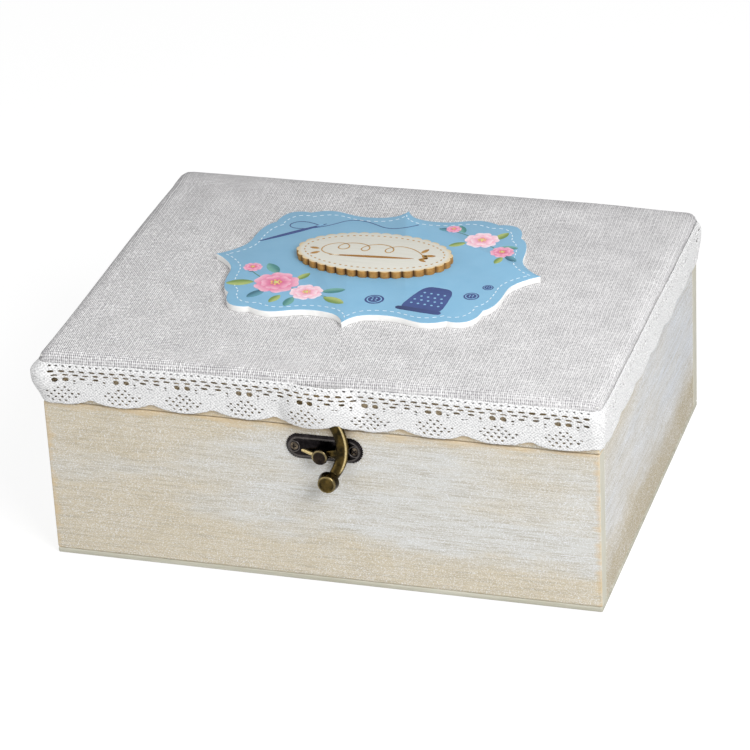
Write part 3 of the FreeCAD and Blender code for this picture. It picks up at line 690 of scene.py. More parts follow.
def makeLaceRepeat(sizes):
    cells, rows, headRows = sizes["cells"], len(laceRows) + len(fanRows), len(laceRows)
    heights, fanHeights = [row[0] for row in laceRows], [row[0] for row in fanRows]
    net = newMesh("grid", x_subdivisions=cells, y_subdivisions=rows, size=1)
    for point in net.data.vertices:
        column, row = round((point.co.x + 0.5) * cells), round((0.5 - point.co.y) * rows)
        along = column * sizes["repeat"] / cells
        if row <= headRows:
            share = sum(heights[:row]) / sum(heights)
            height = sizes["top"] + (sizes["fanTop"] - sizes["top"]) * share
        else:
            share = sum(fanHeights[:row - headRows]) / sum(fanHeights)
            height = sizes["fanTop"] + (scallopEdge(along, sizes) - sizes["fanTop"]) * share
        # A picot at every other cell of the edge
        if row == rows:
            height += sizes["picot"] * (1 if column % 2 else -1)
        # The eyelets' corners are drawn in, to round them
        if row in sizes["eyeletRows"] and column in sizes["eyeletColumns"]:
            along += 0.3 if sizes["eyeletColumns"].index(column) % 2 == 0 else -0.3
            height += -0.2 if row == sizes["eyeletRows"][0] else 0.2
        point.co = inMetres(along, height, 0)
    # Runs of open cells are bordered together, single ones each by itself, and the middles cut out.
    # A new grid's faces run row by row from its low edge.
    marks = net.data.attributes.new("hole", "INT", "FACE")
    for face in net.data.polygons:
        row, cell = rows - 1 - face.index // cells, face.index % cells
        if isOpen(row, cell, sizes):
            alone = row >= headRows or laceRows[row][1] in ("beads", "dots")
            marks.data[face.index].value = 2 if alone else 1
    for mark in (1, 2):
        pick(net, lambda face, sheet: face[sheet.faces.layers.int["hole"]] == mark)
        bpy.ops.mesh.inset(thickness=sizes["border"] * mm, use_individual=mark == 2, use_boundary=True)
        bpy.ops.mesh.delete(type="FACE")
        deselect()
    return net


def laceSwell(x, z):
    # How far the front lace stands out over the hook's plate and eye
    inside = 1 - ((x - 3.7) / 18.4) ** 2 - ((z - 82.5) / 14.4) ** 2
    return 4.55 * math.sqrt(inside) if inside > 0 else 0


def closeHoles(net, cutAt, sizes):
    # No hole may lie across the cut at a corner, so those that would are darned
    sheet = pick(net, lambda edge, sheet: False, "EDGE")
    left = {edge for edge in sheet.edges if edge.is_boundary}
    while left:
        loop, edgesToFollow = [], [left.pop()]
        while edgesToFollow:
            edge = edgesToFollow.pop()
            loop.append(edge)
            for linked in [other for point in edge.verts for other in point.link_edges]:
                if linked in left:
                    left.remove(linked)
                    edgesToFollow.append(linked)
        reach = [point.co.x / mm for edge in loop for point in edge.verts]
        isHole = max(reach) - min(reach) < 8
        if isHole and min(reach) < cutAt + sizes["darned"] and max(reach) > cutAt - sizes["darned"]:
            for edge in loop:
                edge.select_set(True)
    bmesh.update_edit_mesh(net.data)
    bpy.ops.mesh.fill_holes(sides=0)
    deselect()


def makeLaceSide(name, node, turn, phase, bulges, sizes):
    # turn is the side's bearing, phase where a repeat begins, bulges how far the lace stands off at its ends
    halfRun, halfAcross = (halfWide, halfDeep) if turn % 180 == 0 else (halfDeep, halfWide)
    net = makeLaceRepeat(sizes)
    repeat, standoff, fanTop = sizes["repeat"], sizes["standoff"], sizes["fanTop"]
    straight = halfRun + standoff - sizes["corner"]
    half = straight + sizes["corner"] * math.pi / 4
    first = phase - repeat * math.ceil((phase + half) / repeat)
    applyModifier(net, "ARRAY", count=math.ceil((half - first) / repeat), use_relative_offset=False,
                  use_constant_offset=True, constant_offset_displace=(repeat * mm, 0, 0),
                  use_merge_vertices=True, merge_threshold=0.02 * mm)
    for point in net.data.vertices:
        point.co.x += first * mm
        # No two stitches are quite alike
        spot = Vector((point.co.x / mm / 2.1, point.co.y / mm / 2.1, turn))
        point.co.x += sizes["uneven"] * mm * noise.noise(spot)
        point.co.y += sizes["uneven"] * mm * noise.noise(spot + Vector((0, 0, 31)))
    for side in (-1, 1):
        closeHoles(net, side * half, sizes)
        pick(net)
        cutAt = (side * (half + 0.2) * mm, 0, 0)
        bpy.ops.mesh.bisect(plane_co=cutAt, plane_no=(side, 0, 0), clear_outer=True)
        deselect()
    endEdges = [scallopEdge(side * half - first, sizes) for side in (-1, 1)]
    applyModifier(net, "SOLIDIFY", thickness=sizes["cord"] * mm, offset=0)
    applyModifier(net, "SUBSURF", levels=1, render_levels=1)
    keepFlat(net)
    bearing = Matrix.Rotation(math.radians(turn), 3, "Z")
    seed = turn * 0.37
    for point in net.data.vertices:
        along, z, depth = [value / mm for value in point.co]
        low = smoothStep(sizes["top"], sizes["tip"], z)
        toEnd = half - abs(along)
        # Where two strips meet, their edges come together and what is uneven dies away
        free, near = smoothStep(0, 9, toEnd), math.exp(-(toEnd / 6) ** 2)
        if z < fanTop:
            z -= (fanTop - z) * ((fanTop - sizes["meet"]) / (fanTop - endEdges[along > 0]) - 1) * near
        # Slack in the hanging edge, and the way the header was glued by hand
        slack = 0.5 * low * noise.noise(Vector((along / 15, z / 22, seed)))
        out = standoff + depth - 0.45 * low + slack * free
        # The header lies against the linen's rounded edge, less closely on the right
        out -= (0.5 - (0.3 * free if turn == 90 else 0) + 0.15 * near) * smoothStep(91.0, 93.6, z)
        # On the left, and at the corner next to it behind, it follows the linen's swelling
        if turn == 270:
            out += linenLean(-along) * smoothStep(76, 86, z)
        elif turn == 180 and along > 0:
            out += linenLean(half) * smoothStep(76, 86, z) * math.exp(-(toEnd / 4.5) ** 2)
        out += 0.16 * free * noise.noise(Vector((along / 6, z / 6, seed + 4)))
        waves = [noise.noise(Vector((along / length, seed, start)))
                 for length, start in ((30, 2.2), (17, 6.1))]
        lift = free * (0.35 * waves[0] + 0.4 * low * waves[1])
        # The strips sink a little at the front left corner
        if (turn == 0 and along < 0) or (turn == 270 and along > 0):
            lift -= 1.1 * math.exp(-(toEnd / 42) ** 2)
        bulge = bulges[along >= 0] * math.exp(-(toEnd / 7.5) ** 2)
        out += bulge * smoothStep(74.5, 86, z) * (1 - smoothStep(88.5, 94, z))
        if turn == 0:
            raised = laceSwell(along, z) + depth
            apart = abs(raised - out)
            out = max(out, raised) + max(sizes["blend"] - apart, 0) ** 2 / (4 * sizes["blend"])
        aside, away = along, halfAcross + out
        if abs(along) > straight:
            bend = (abs(along) - straight) / sizes["corner"]
            radius = sizes["corner"] - standoff + out
            aside = math.copysign(straight + radius * math.sin(bend), along)
            away = halfAcross + standoff - sizes["corner"] + radius * math.cos(bend)
        point.co = bearing @ (Vector((aside, -away, z + lift)) * mm)
    smoothShade(net)
    pick(net)
    bpy.ops.mesh.normals_make_consistent(inside=False)
    finishPiece(net, name, cotton, "lid", node)
    print(name, "has", len(net.data.polygons), "faces")
    return net


frontLace = makeLaceSide("laceFront", "lace_front", 0, 10.3, (3.6, 1.0), laceSizes)
makeLaceSide("laceRight", "lace_right", 90, 20.5, (1.0, 1.3), laceSizes | {"scallop": 2.1, "tip": 73.9})
makeLaceSide("laceBack", "lace_back", 180, 3.0, (1.3, 0.5), laceSizes)
makeLaceSide("laceLeft", "lace_left", 270, 9.0, (0.5, 3.6), laceSizes)
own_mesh(frontLace)
print("lace sewn round the lid")


# Flat marks for print and engraving: each pattern is drawn once, one unit long from its foot, and stamped
inkFilm = 0.05


def power(value, exponent):
    return math.copysign(abs(value) ** exponent, value)


def outline(angle, longPower=1, widePower=1, notch=0.0, footWidth=1.0, spread=0.0):
    # A rounded shape: how square it is each way, the notch at its tip, and how it widens from its foot
    along = 0.5 + 0.5 * power(math.cos(angle), longPower) - notch * math.exp(-(angle / 0.35) ** 2)
    return along, 0.5 * power(math.sin(angle), widePower) * (footWidth + spread * along)


def makePattern(corners=24, rings=2, **form):
    pattern = newMesh("circle", vertices=corners, radius=1, fill_type="NGON")
    pick(pattern)
    for ring in range(rings):
        bpy.ops.mesh.inset(thickness=1 / (rings + 1))
    deselect()
    for point in pattern.data.vertices:
        along, aside = outline(math.atan2(point.co.y, point.co.x), **form)
        share = min(point.co.xy.length, 1)
        point.co = (0.45 + (along - 0.45) * share, aside * share, 0)
    applyModifier(pattern, "SOLIDIFY", thickness=0.1, offset=-1)
    return pattern


def blendInks(inks, share):
    place = min(max(share, 0), 0.9999) * (len(inks) - 1)
    first, second = hexColour(inks[int(place)]), hexColour(inks[min(int(place) + 1, len(inks) - 1)])
    return [a + (b - a) * (place % 1) for a, b in zip(first, second)]


def onFace(face, u, v, height):
    aside, up = turned(u, v, face["turn"])
    return inMetres(face["centre"][0] + aside, face["centre"][1] + up, face["height"] + height)


def inkPoints(mark, inks, shareOf):
    colours = mark.data.color_attributes.new("ink", "FLOAT_COLOR", "POINT")
    for point, colour in zip(mark.data.vertices, colours.data):
        colour.color = blendInks(inks, shareOf(point.co))


def stamp(pattern, spot, turn, long, wide, inks, level=1, face=plaqueFace, halves=False):
    # A copy of the pattern with its foot at spot, inked from foot to tip or from one half to the other
    mark = copyOf(pattern)
    inkPoints(mark, inks, (lambda co: 0.5 + 2.2 * co.y) if halves else (lambda co: co.x))
    for point in mark.data.vertices:
        aside, up = turned(point.co.x * long, point.co.y * wide, turn)
        height = inkFilm * level if point.co.z > -0.05 else -inkFilm
        point.co = onFace(face, spot[0] + aside, spot[1] + up, height)
    return mark


def drawLine(points, width, ink, level=1, face=plaqueFace):
    # A drawn line: a smooth path with a round section, pressed flat on the face
    deselect()
    bpy.ops.curve.primitive_nurbs_path_add()
    line = bpy.context.object
    line.data.splines.clear()
    spline = line.data.splines.new("NURBS")
    spline.points.add(len(points) - 1)
    for point, (u, v) in zip(spline.points, points):
        point.co = (u, v, 0, 1)
    spline.order_u = 4
    spline.use_endpoint_u = True
    line.data.dimensions = "3D"
    line.data.resolution_u, line.data.bevel_depth, line.data.bevel_resolution = 6, width / 2, 1
    line.data.use_fill_caps = True
    makeActive(line)
    bpy.ops.object.convert(target="MESH")
    line = bpy.context.object
    inkPoints(line, [ink], lambda co: 0)
    for point in line.data.vertices:
        point.co = onFace(face, point.co.x, point.co.y, inkFilm * level * (point.co.z > 0) - 0.01)
    return line


def joinMarks(marks, name, material):
    deselect()
    for mark in marks:
        mark.select_set(True)
    bpy.context.view_layer.objects.active = marks[0]
    bpy.ops.object.join()
    return finishPiece(bpy.context.object, name, material, "lid")


petal = makePattern(notch=0.10, footWidth=0.5, spread=0.75)
leaf = makePattern(widePower=1.5)
disc = makePattern()
dash = makePattern(12, 0, longPower=0.45, widePower=0.45)
thimble = makePattern(longPower=0.5, widePower=0.5, spread=-0.3)
rosePink = ["#C13F70", "#E07FA3", "#F5C3D4"]
palePink = ["#D45C88", "#F2B4C8", "#FBE9EE"]
leafGreens = [["#3E7D7C", "#6FA79A"], ["#6E8B45", "#A9B86E"], ["#2F6478", "#5C95A6"]]
stalkGreen, navy, skyBlue = "#4E7F6A", "#31447C", "#8CBFDF"


def printDisc(spot, wide, inks, level):
    # A disc by its middle and its width
    return stamp(disc, (spot[0] - wide / 2, spot[1]), 0, wide, wide, inks, level)


def printBlossom(spot, size, turn, inks):
    # Two rings of five petals round a ring of stamens
    marks = []
    for ring, share in enumerate((1.0, 0.66)):
        for step in range(5):
            marks.append(stamp(petal, spot, turn + 72 * step + 36 * ring, size * share, size * share * 0.95,
                               inks, level=2 + 2 * ring + 0.3 * step))
    for step in range(7):
        aside, up = turned(0.2 * size, 0, turn + 360 * step / 7)
        marks.append(printDisc((spot[0] + aside, spot[1] + up), 0.1 * size, ["#F3DC8C", "#D9A63F"], 7))
    marks.append(printDisc(spot, 0.22 * size, ["#B9D18A", "#E8D27A"], 7))
    return marks


def printLeaves(leaves):
    return [stamp(leaf, spot, turn, long, long * 0.46, leafGreens[kind], level=1 + 0.2 * (kind + 1),
                  halves=True) for spot, turn, long, kind in leaves]


def printButton(spot, size):
    marks = [printDisc(spot, 2 * size * share, [ink], level)
             for share, ink, level in ((1.0, navy, 1), (0.78, skyBlue, 2), (0.66, navy, 3))]
    for aside, up in ((-1, -1), (1, -1), (-1, 1), (1, 1)):
        hole = (spot[0] + 0.2 * aside * size, spot[1] + 0.2 * up * size)
        marks.append(printDisc(hole, 0.2 * size, [skyBlue], 4))
    return marks


def printPlaque():
    # A spray of blossoms low on the left and a smaller one high on the right
    marks = [drawLine([(-54, -12), (-48, -20), (-38, -25), (-24, -31), (-8, -36)], 0.5, stalkGreen),
             drawLine([(56, 14), (50, 22), (40, 30), (30, 38), (18, 41)], 0.5, stalkGreen)]
    marks += printLeaves([
        ((-40, -15), 128, 11, 0), ((-48, -25), 196, 12, 1), ((-41, -32), 236, 10, 2), ((-30, -20), 62, 8, 1),
        ((-27, -37), 262, 9, 0), ((-16, -30), 22, 10, 0), ((-14, -35), -24, 11, 1), ((-52, -16), 102, 8, 2),
        ((-33, -36), 250, 8, 1), ((30, 38), 118, 8, 0), ((45, 33), 62, 9, 1), ((48, 25), 8, 9, 0),
        ((53, 18), -42, 8, 2), ((33, 28), 214, 8, 1), ((26, 40), 178, 8, 2), ((52, 16), -104, 7, 1)])
    for blossom in (((-38, -24.5), 10.5, 14, rosePink), ((-22.5, -31.5), 7.6, 40, palePink),
                    ((-52.5, -11), 4.4, 70, rosePink), ((39.5, 31.5), 8.0, 25, palePink),
                    ((51, 21), 5.6, 55, rosePink), ((24.5, 41), 3.6, 10, rosePink)):
        marks += printBlossom(*blossom)
    # A thimble with its dimples, and three buttons, low on the right
    marks.append(stamp(thimble, (29, -42), 80, 24, 20, [navy, "#3A4F8A", navy]))
    marks.append(stamp(dash, (18.6, -38.9), -10, 21, 3.4, ["#22315E", "#31447C"], level=2))
    for row in range(4):
        for step in range(5 - row // 2):
            aside, up = turned((step - (4 - row // 2) / 2) * 3.1, 7.2 + 3.5 * row, -10)
            marks.append(printDisc((29.15 + aside, -42 + up), 1.1, [skyBlue], 2))
    for button in (((8, -33.5), 4.2), ((48, -24), 3.4), ((53, -14.5), 2.4)):
        marks += printButton(*button)
    # A threaded needle high on the left
    marks.append(stamp(leaf, (-58, 15), 42, 34, 2.2, [navy], level=2))
    marks.append(stamp(leaf, (-36.6, 34.3), 42, 3.6, 0.9, [skyBlue], level=3))
    marks.append(drawLine([(-35.4, 35.4), (-44, 41), (-52, 34), (-44, 29), (-30, 36), (-24, 45), (-12, 42),
                           (-6, 36), (2, 38), (8, 43)], 0.55, navy))
    return joinMarks(marks, "plaquePrint", inkedSurface("printingInk", 0.5))


def faceOutline(node, height):
    # The edge of a node's flat top, from a merged copy of its mesh, as points in order
    board = copyOf(node)
    pick(board)
    bpy.ops.mesh.remove_doubles(threshold=0.01 * mm)
    sheet = bmesh.from_edit_mesh(board.data)
    top = [face for face in sheet.faces
           if looksUp(face, sheet) and face.calc_center_median().z > (height - 0.05) * mm]
    edges = [edge for face in top for edge in face.edges
             if sum(other in top for other in edge.link_faces) == 1]
    following = {}
    for edge in edges:
        for point in edge.verts:
            following.setdefault(point, []).append(edge.other_vert(point))
    order, last = [edges[0].verts[0]], None
    while len(order) <= len(following):
        here = order[-1]
        step = next(point for point in following[here] if point != last)
        if step == order[0]:
            break
        order.append(step)
        last = here
    outline = [point.co.xy / mm for point in order]
    deselect()
    bpy.data.objects.remove(board)
    return outline


def stitchAlong(face, outline, shares, pitch, long, wide, inks):
    # Dashes at an even pitch along the outline drawn in towards the face's middle
    path = []
    for point in outline:
        aside, up = turned(point.x - face["centre"][0], point.y - face["centre"][1], -face["turn"])
        path.append(Vector((aside * shares[0], up * shares[1])))
    path.append(path[0])
    lengths = [(b - a).length for a, b in zip(path, path[1:])]
    count = round(sum(lengths) / pitch)
    marks, gone, index = [], 0.0, 0
    for step in range(count):
        wanted = step * sum(lengths) / count
        while gone + lengths[index] < wanted:
            gone += lengths[index]
            index += 1
        run = (path[index + 1] - path[index]).normalized()
        foot = path[index] + run * (wanted - gone - long / 2)
        marks.append(stamp(dash, foot, math.degrees(math.atan2(run.y, run.x)), long, wide, inks, face=face))
    return marks


def easedBoard(node, name, material, ease):
    # A copy of the frame's board with its edges eased
    board = bpy.data.objects.new(name, nodes[node].data.copy())
    scene.collection.objects.link(board)
    pick(board)
    bpy.ops.mesh.remove_doubles(threshold=0.01 * mm)
    bpy.ops.mesh.dissolve_limited(angle_limit=math.radians(1))
    easeEdges(board, ease, 2, 60)
    smoothShade(board, 35)
    return finishPiece(board, name, material, "lid", node)


def engraveOval(face):
    burnt, dark, bare = "#B78E52", "#9C7038", "#E4D9C0"
    ring = [Vector((face["centre"][0] + 31.3 * math.cos(math.radians(angle)),
                    face["centre"][1] + 16.1 * math.sin(math.radians(angle)))) for angle in range(0, 360, 2)]
    marks = stitchAlong(face, ring, (1, 1), 2.75, 1.2, 0.62, [burnt])
    # A needle with its thread drawn out in loops, and a sprig at each end
    marks.append(stamp(leaf, (-19, -6.2), 4, 38, 1.9, [dark], level=2, face=face))
    marks.append(stamp(leaf, (-17.6, -6.1), 4, 3.6, 0.7, [bare], level=3, face=face))
    marks.append(drawLine([(-16, -6), (-23, -5), (-25, 1), (-19, 7), (-12, 6), (-12, 0), (-18, 0), (-16, 7),
                           (-7, 8), (-2, 4), (-4, -1), (-8, 2), (-3, 8), (5, 8), (9, 3), (6, -1), (3, 3),
                           (8, 8), (15, 7), (20, 3), (22, 0)], 0.62, burnt, face=face))
    for spot, turn, long in (((20.5, 2.5), 64, 5), ((22, 0), 8, 5.5), ((21.5, 1), -52, 5),
                             ((-23.5, -4), 216, 4.6), ((-24.6, -1), 172, 4.6),
                             ((21, -3.6), 20, 4.2), ((21, -3.6), -30, 4.2)):
        marks.append(stamp(leaf, spot, turn, long, long * 0.42, [burnt, dark], face=face))
    return joinMarks(marks, "ovalEngraving", inkedSurface("laserBurntLine", 0.8))


plaquePrint = printPlaque()
plaqueEdge = faceOutline(nodes["plaque"], plaqueFace["height"])
stitches = stitchAlong(plaqueFace, plaqueEdge, (0.935, 0.915), 3.3, 1.8, 0.42, ["#E2EEF5"])
joinMarks(stitches, "plaqueStitchLine", plaquePrint.data.materials[0])
easedBoard("plaque", "plaqueBoard", blueBoard, 0.3)
easedBoard("oval_tag", "ovalBoard", ovalPly, 0.15)
engraveOval(ovalFace)
for pattern in (petal, leaf, disc, dash, thimble):
    bpy.data.objects.remove(pattern)
print("plaque printed and oval engraved")


# Pan-head screws with a cross recess, modelled once at head radius 1 and copied to each of the frame's screws
screwSizes = {"rim": 0.34, "dome": 0.16, "steps": ((0.16, 0.45), (0.28, 0.35), (0.28, 0.2)), "shank": 0.55,
              "length": 3.0, "point": 0.4, "slot": 0.3, "slotLong": 1.25, "slotDepth": 0.36}


def makeScrew(sizes):
    screw = newMesh("cylinder", vertices=28, radius=1, depth=sizes["rim"], location=(0, 0, -sizes["rim"] / 2))
    pick(screw, looksUp)
    for inward, up in sizes["steps"]:
        bpy.ops.mesh.inset(thickness=inward)
        bpy.ops.transform.translate(value=(0, 0, up * sizes["dome"]))
    pick(screw, looksDown)
    bpy.ops.mesh.inset(thickness=1 - sizes["shank"])
    bpy.ops.mesh.extrude_region_move(TRANSFORM_OT_translate={"value": (0, 0, -sizes["length"])})
    bpy.ops.transform.resize(value=(sizes["point"], sizes["point"], 1))
    for long, wide in ((sizes["slotLong"], sizes["slot"]), (sizes["slot"], sizes["slotLong"])):
        cutter = newMesh("cube", (long, wide, 2 * sizes["slotDepth"]), size=1, location=(0, 0, sizes["dome"]))
        combine(screw, cutter, "DIFFERENCE")
    smoothShade(screw, 35)
    return screw


def placeScrews(sizes):
    pattern = makeScrew(sizes)
    names = sorted(name for name in nodes if "screw" in name)
    for count, name in enumerate(names):
        low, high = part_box(name)
        atFront = low[1] < 0
        middle = Vector(((low[0] + high[0]) / 2, low[1] if atFront else high[1], (low[2] + high[2]) / 2))
        outward = Matrix.Rotation(math.radians(90 if atFront else -90), 4, "X")
        placed = Matrix.Translation(middle) @ outward @ Matrix.Rotation(0.7 * count, 4, "Z")
        screw = copyOf(pattern)
        screw.data.transform(placed @ Matrix.Scale((high[0] - low[0]) / 2, 4))
        body = "lid" if name.startswith("hook_") or "_lid_" in name else "base"
        first, *others = name.split("_")
        pieceName = first + "".join(part.title() for part in others)
        finishPiece(screw, pieceName, screwBrass, body, name)
    bpy.data.objects.remove(pattern)
    return len(names)


print("screws set:", placeScrews(screwSizes))


# Latch: plate, catch and hook with the soft edges of a casting, in the places of the frame's own. They are
# modelled lying face up, x across and y up the front of the box, and stood against it at the end
plateSizes = {"spot": (3.7, 64.3), "long": 33.0, "high": 11.5, "edge": 0.3, "tooth": 0.26, "ease": 0.12,
              "steps": ((1.3, 0.8), (0.5, 0.0), (0.35, -0.3)), "bosses": 13.0, "boss": 2.45, "bead": 0.32}
catchSizes = {"rod": 1.0, "rodLong": 9.4, "rodSpot": (-1.6, 62.5, 2.1), "rodLean": 63.4, "button": 3.4,
              "buttonDeep": 2.3, "buttonSpot": (3.0, 62.5, 4.55), "rims": (0.9, 0.8), "hollow": 0.12,
              "ease": 0.55}
# Along the hook's arm: bearing from the arc's centre, standoff of its middle, half width and half thickness
armStations = [(55, 1.95, 2.95, 0.55), (31, 2.2, 2.9, 0.85), (5, 2.55, 2.8, 1.2), (-15, 2.95, 2.65, 1.4),
               (-26, 3.9, 2.45, 1.6), (-36, 5.4, 2.2, 1.75), (-45, 7.0, 2.0, 1.75)]
hookSizes = {"arc": (-7.77, 66.12), "radius": 20.0, "lengths": 40, "eyeSpot": (3.7, 82.5, 1.95), "eye": 4.4,
             "eyeDeep": 1.1, "bore": 1.55, "boreDeep": 12, "knobSpot": (6.86, 52.5, 8.15), "knob": 4.6,
             "knobFace": 0.82, "knobDeep": 3.9, "knobEase": 0.4, "fingerSpot": (8.6, 63.3, 2.75),
             "finger": (3.2, 1.1), "fingerLong": 6.6, "fingerFlat": 0.42, "voxel": 0.22}


def newPeg(vertices, radius, depth, spot=(0, 0, 0), turn=(0, 0, 0)):
    return newMesh("cylinder", vertices=vertices, radius=radius * mm, depth=depth * mm,
                   location=inMetres(*spot), rotation=turn)


def standUp(piece, name, material, body, node):
    applyAll(piece)
    piece.rotation_euler = (math.pi / 2, 0, 0)
    piece.location = (0, -halfDeep * mm, 0)
    return finishPiece(piece, name, material, body, node)


def makeCatchPlate(sizes):
    radius, corners = sizes["high"] / 2, 72
    straight = sizes["long"] / 2 - radius
    plate = newPeg(corners, radius, sizes["edge"], (0, 0, sizes["edge"] / 2), (0, 0, math.pi / corners))
    for point in plate.data.vertices:
        point.co.x += math.copysign(straight, point.co.x) * mm
    pick(plate, looksUp)
    for inward, up in sizes["steps"]:
        bpy.ops.mesh.inset(thickness=inward * mm)
        bpy.ops.transform.translate(value=(0, 0, up * mm))
    deselect()
    # The two ends are milled
    for point in plate.data.vertices:
        centre = Vector((math.copysign(straight, point.co.x) * mm, 0))
        spoke = point.co.xy - centre
        if point.co.z < (sizes["edge"] + 0.01) * mm and abs(point.co.x) > (straight + 0.3 * radius) * mm:
            step = math.floor(math.atan2(spoke.y, spoke.x) / (2 * math.pi / corners))
            point.co.xy = centre + spoke * (1 + sizes["tooth"] / radius * (1 if step % 2 else -0.6))
    easeEdges(plate, sizes["ease"], 2, 25)
    # A bead round each screw
    floor = sizes["edge"] + sum(up for inward, up in sizes["steps"])
    for side in (-1, 1):
        bead = newMesh("torus", location=inMetres(side * sizes["bosses"], 0, floor), major_segments=40,
                       major_radius=sizes["boss"] * mm, minor_segments=10, minor_radius=sizes["bead"] * mm)
        combine(plate, bead, "UNION")
    plate.location = inMetres(*sizes["spot"], 0)
    smoothShade(plate, 40)
    return standUp(plate, "catchPlate", plateBrass, "base", "catch_plate")


def makeCatch(sizes):
    lean = (0, math.radians(sizes["rodLean"]), 0)
    rod = newPeg(20, sizes["rod"], sizes["rodLong"], sizes["rodSpot"], lean)
    button = newPeg(48, sizes["button"], sizes["buttonDeep"], sizes["buttonSpot"])
    # The face is a little hollow
    pick(button, looksUp)
    for inward in sizes["rims"]:
        bpy.ops.mesh.inset(thickness=inward * mm)
    bpy.ops.transform.translate(value=(0, 0, -sizes["hollow"] * mm))
    easeEdges(button, sizes["ease"], 4, 50)
    combine(button, rod, "UNION")
    smoothShade(button, 40)
    return standUp(button, "catchTongue", catchBrass, "base", "catch_tongue")


def alongArm(bearing):
    for (first, *lower), (second, *upper) in zip(armStations, armStations[1:]):
        if bearing >= second - 0.001:
            share = (first - bearing) / (first - second)
            return [a + (b - a) * share for a, b in zip(lower, upper)]


def makeHook(sizes):
    # The arm: a rod cut into short lengths, laid round the arc and swelled to its section
    arm = newMesh("cylinder", vertices=24, radius=1, depth=1)
    pick(arm, lambda edge, sheet: abs(edge.verts[0].co.z - edge.verts[1].co.z) > 0.5, "EDGE")
    bpy.ops.mesh.subdivide(number_cuts=sizes["lengths"])
    deselect()
    start, end = armStations[0][0], armStations[-1][0]
    for point in arm.data.vertices:
        bearing = start + (end - start) * (point.co.z + 0.5)
        standoff, wide, thick = alongArm(bearing)
        aside, up = turned(sizes["radius"] + wide * point.co.x, 0, bearing)
        out = standoff + thick * point.co.y * (1 if point.co.y > 0 else 0.8)
        point.co = inMetres(sizes["arc"][0] + aside, sizes["arc"][1] + up, out)
    pick(arm)
    bpy.ops.mesh.normals_make_consistent(inside=False)
    eye = newPeg(40, sizes["eye"], sizes["eyeDeep"], sizes["eyeSpot"])
    # Its knob: a short peg whose face is smaller than its back
    knob = newPeg(40, sizes["knob"], sizes["knobDeep"])
    pick(knob, looksUp)
    bpy.ops.transform.resize(value=(sizes["knobFace"], sizes["knobFace"], 1))
    knob.location = inMetres(*sizes["knobSpot"])
    applyAll(knob)
    easeEdges(knob, sizes["knobEase"], 3, 30)
    # Its finger: a fin that narrows towards the catch
    thickEnd, thinEnd = inMetres(*sizes["finger"])
    finger = newMesh("cone", vertices=24, radius1=thickEnd, radius2=thinEnd, depth=sizes["fingerLong"] * mm,
                     rotation=(0, -math.pi / 2, 0))
    finger.scale = (1, 1, sizes["fingerFlat"])
    finger.location = inMetres(*sizes["fingerSpot"])
    applyAll(finger)
    for part in (eye, knob, finger):
        combine(arm, part, "UNION")
    # The bore for the rivet
    combine(arm, newPeg(32, sizes["bore"], sizes["boreDeep"], sizes["eyeSpot"]), "DIFFERENCE")
    # One casting: the joins are melted together
    makeActive(arm)
    arm.data.remesh_voxel_size = sizes["voxel"] * mm
    bpy.ops.object.voxel_remesh()
    applyModifier(arm, "SMOOTH", factor=0.5, iterations=6)
    smoothShade(arm)
    return standUp(arm, "swingHook", hookBrass, "hook", "swing_hook")


makeCatchPlate(plateSizes)
makeCatch(catchSizes)
print("latch cast, its hook has", len(makeHook(hookSizes).data.polygons), "faces")


# Room and camera
def directlySeen(add):
    # One where the camera sees it, in a reflection too or through glass, and nought for all other light
    path = add("LightPath").outputs
    seen = path["Is Camera Ray"]
    for way in ("Is Glossy Ray", "Is Transmission Ray"):
        seen = add("MAXIMUM", seen, path[way])
    return seen


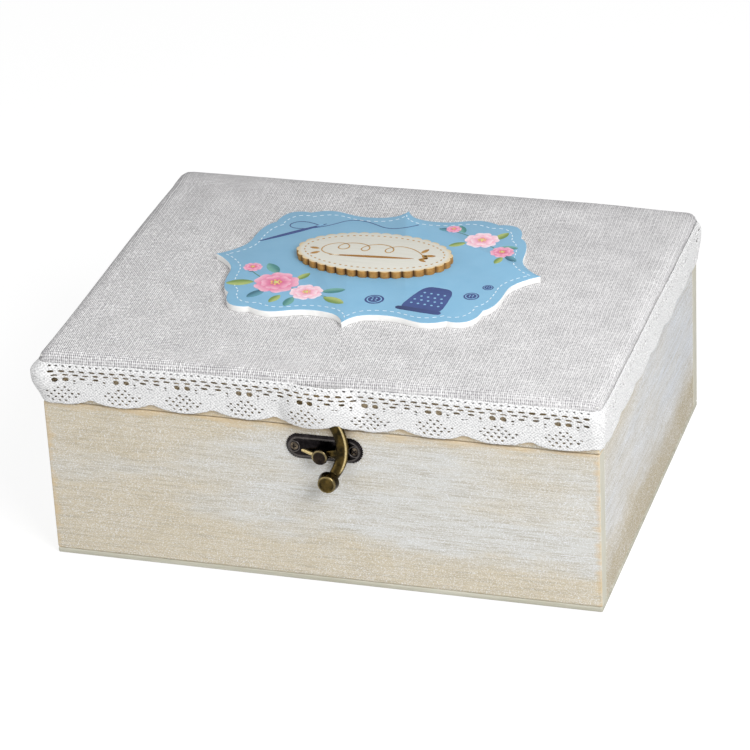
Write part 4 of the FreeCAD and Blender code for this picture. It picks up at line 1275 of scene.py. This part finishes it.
def makeStage():
    floor = newMesh("plane", size=6, location=(0, 0, -0.2 * mm))
    floor.name = "floor"
    material, add, shader = newMaterial("paperFloor")
    floorNodes = material.node_tree.nodes
    floorNodes.remove(shader)
    seen = directlySeen(add)
    paper = add("BsdfDiffuse", add("Mix", seen, "#DEDEDE", "#868686"))
    glow = add("Emission", "#FFFFFF", add("MULTIPLY", seen, 0.84))
    output = next(node for node in floorNodes if node.type == "OUTPUT_MATERIAL")
    setInputs(output, {"Surface": add("AddShader", paper, glow)})
    floor.data.materials.append(material)

    world = bpy.data.worlds.new("studio")
    scene.world = world
    world.use_nodes = True
    add = functools.partial(addNode, world.node_tree)
    background = next(node for node in world.node_tree.nodes if node.type == "BACKGROUND")
    level = add("MapRange", directlySeen(add), 0, 1, 0.39, 1.0)
    setInputs(background, {"Color": "#FFFFFF", "Strength": level})

    for name, place, size, watts in (("keyLamp", (0.95, -0.85, 1.0), 0.7, 16.8),
                                     ("fillLamp", (-1.3, -1.2, 0.9), 1.4, 7.2),
                                     ("topLamp", (0.25, -0.18, 0.48), 0.3, 0.58)):
        bpy.ops.object.light_add(type="AREA", location=place)
        lamp = bpy.context.object
        lamp.name = name
        lamp.data.size = size
        lamp.data.energy = watts
        lamp.rotation_euler = (Vector((0, 0, 0.05)) - Vector(place)).to_track_quat("-Z", "Y").to_euler()


# The camera fitted to the box's corners: its axes, its spot in mm, and its focal length and picture in pixels
cameraSizes = {"right": (0.957044, 0.286128, -0.046881), "down": (0.090044, -0.447003, -0.889989),
               "ahead": (-0.275607, 0.847537, -0.453566), "spot": (406.519, -1260.695, 724.791),
               "focal": 3400.5, "picture": 750, "sensor": 36}


def makeCamera(sizes):
    bpy.ops.object.camera_add()
    camera = bpy.context.object
    camera.name = "photoCamera"
    axes = Matrix((Vector(sizes["right"]), -Vector(sizes["down"]), -Vector(sizes["ahead"]))).transposed()
    camera.matrix_world = Matrix.Translation(Vector(sizes["spot"]) * mm) @ axes.to_4x4()
    camera.data.sensor_width = sizes["sensor"]
    camera.data.lens = sizes["focal"] * sizes["sensor"] / sizes["picture"]
    camera.data.clip_end = 20
    scene.camera = camera


makeStage()
makeCamera(cameraSizes)
scene.view_settings.view_transform = "Standard"
deselect()
print("sewing box done")
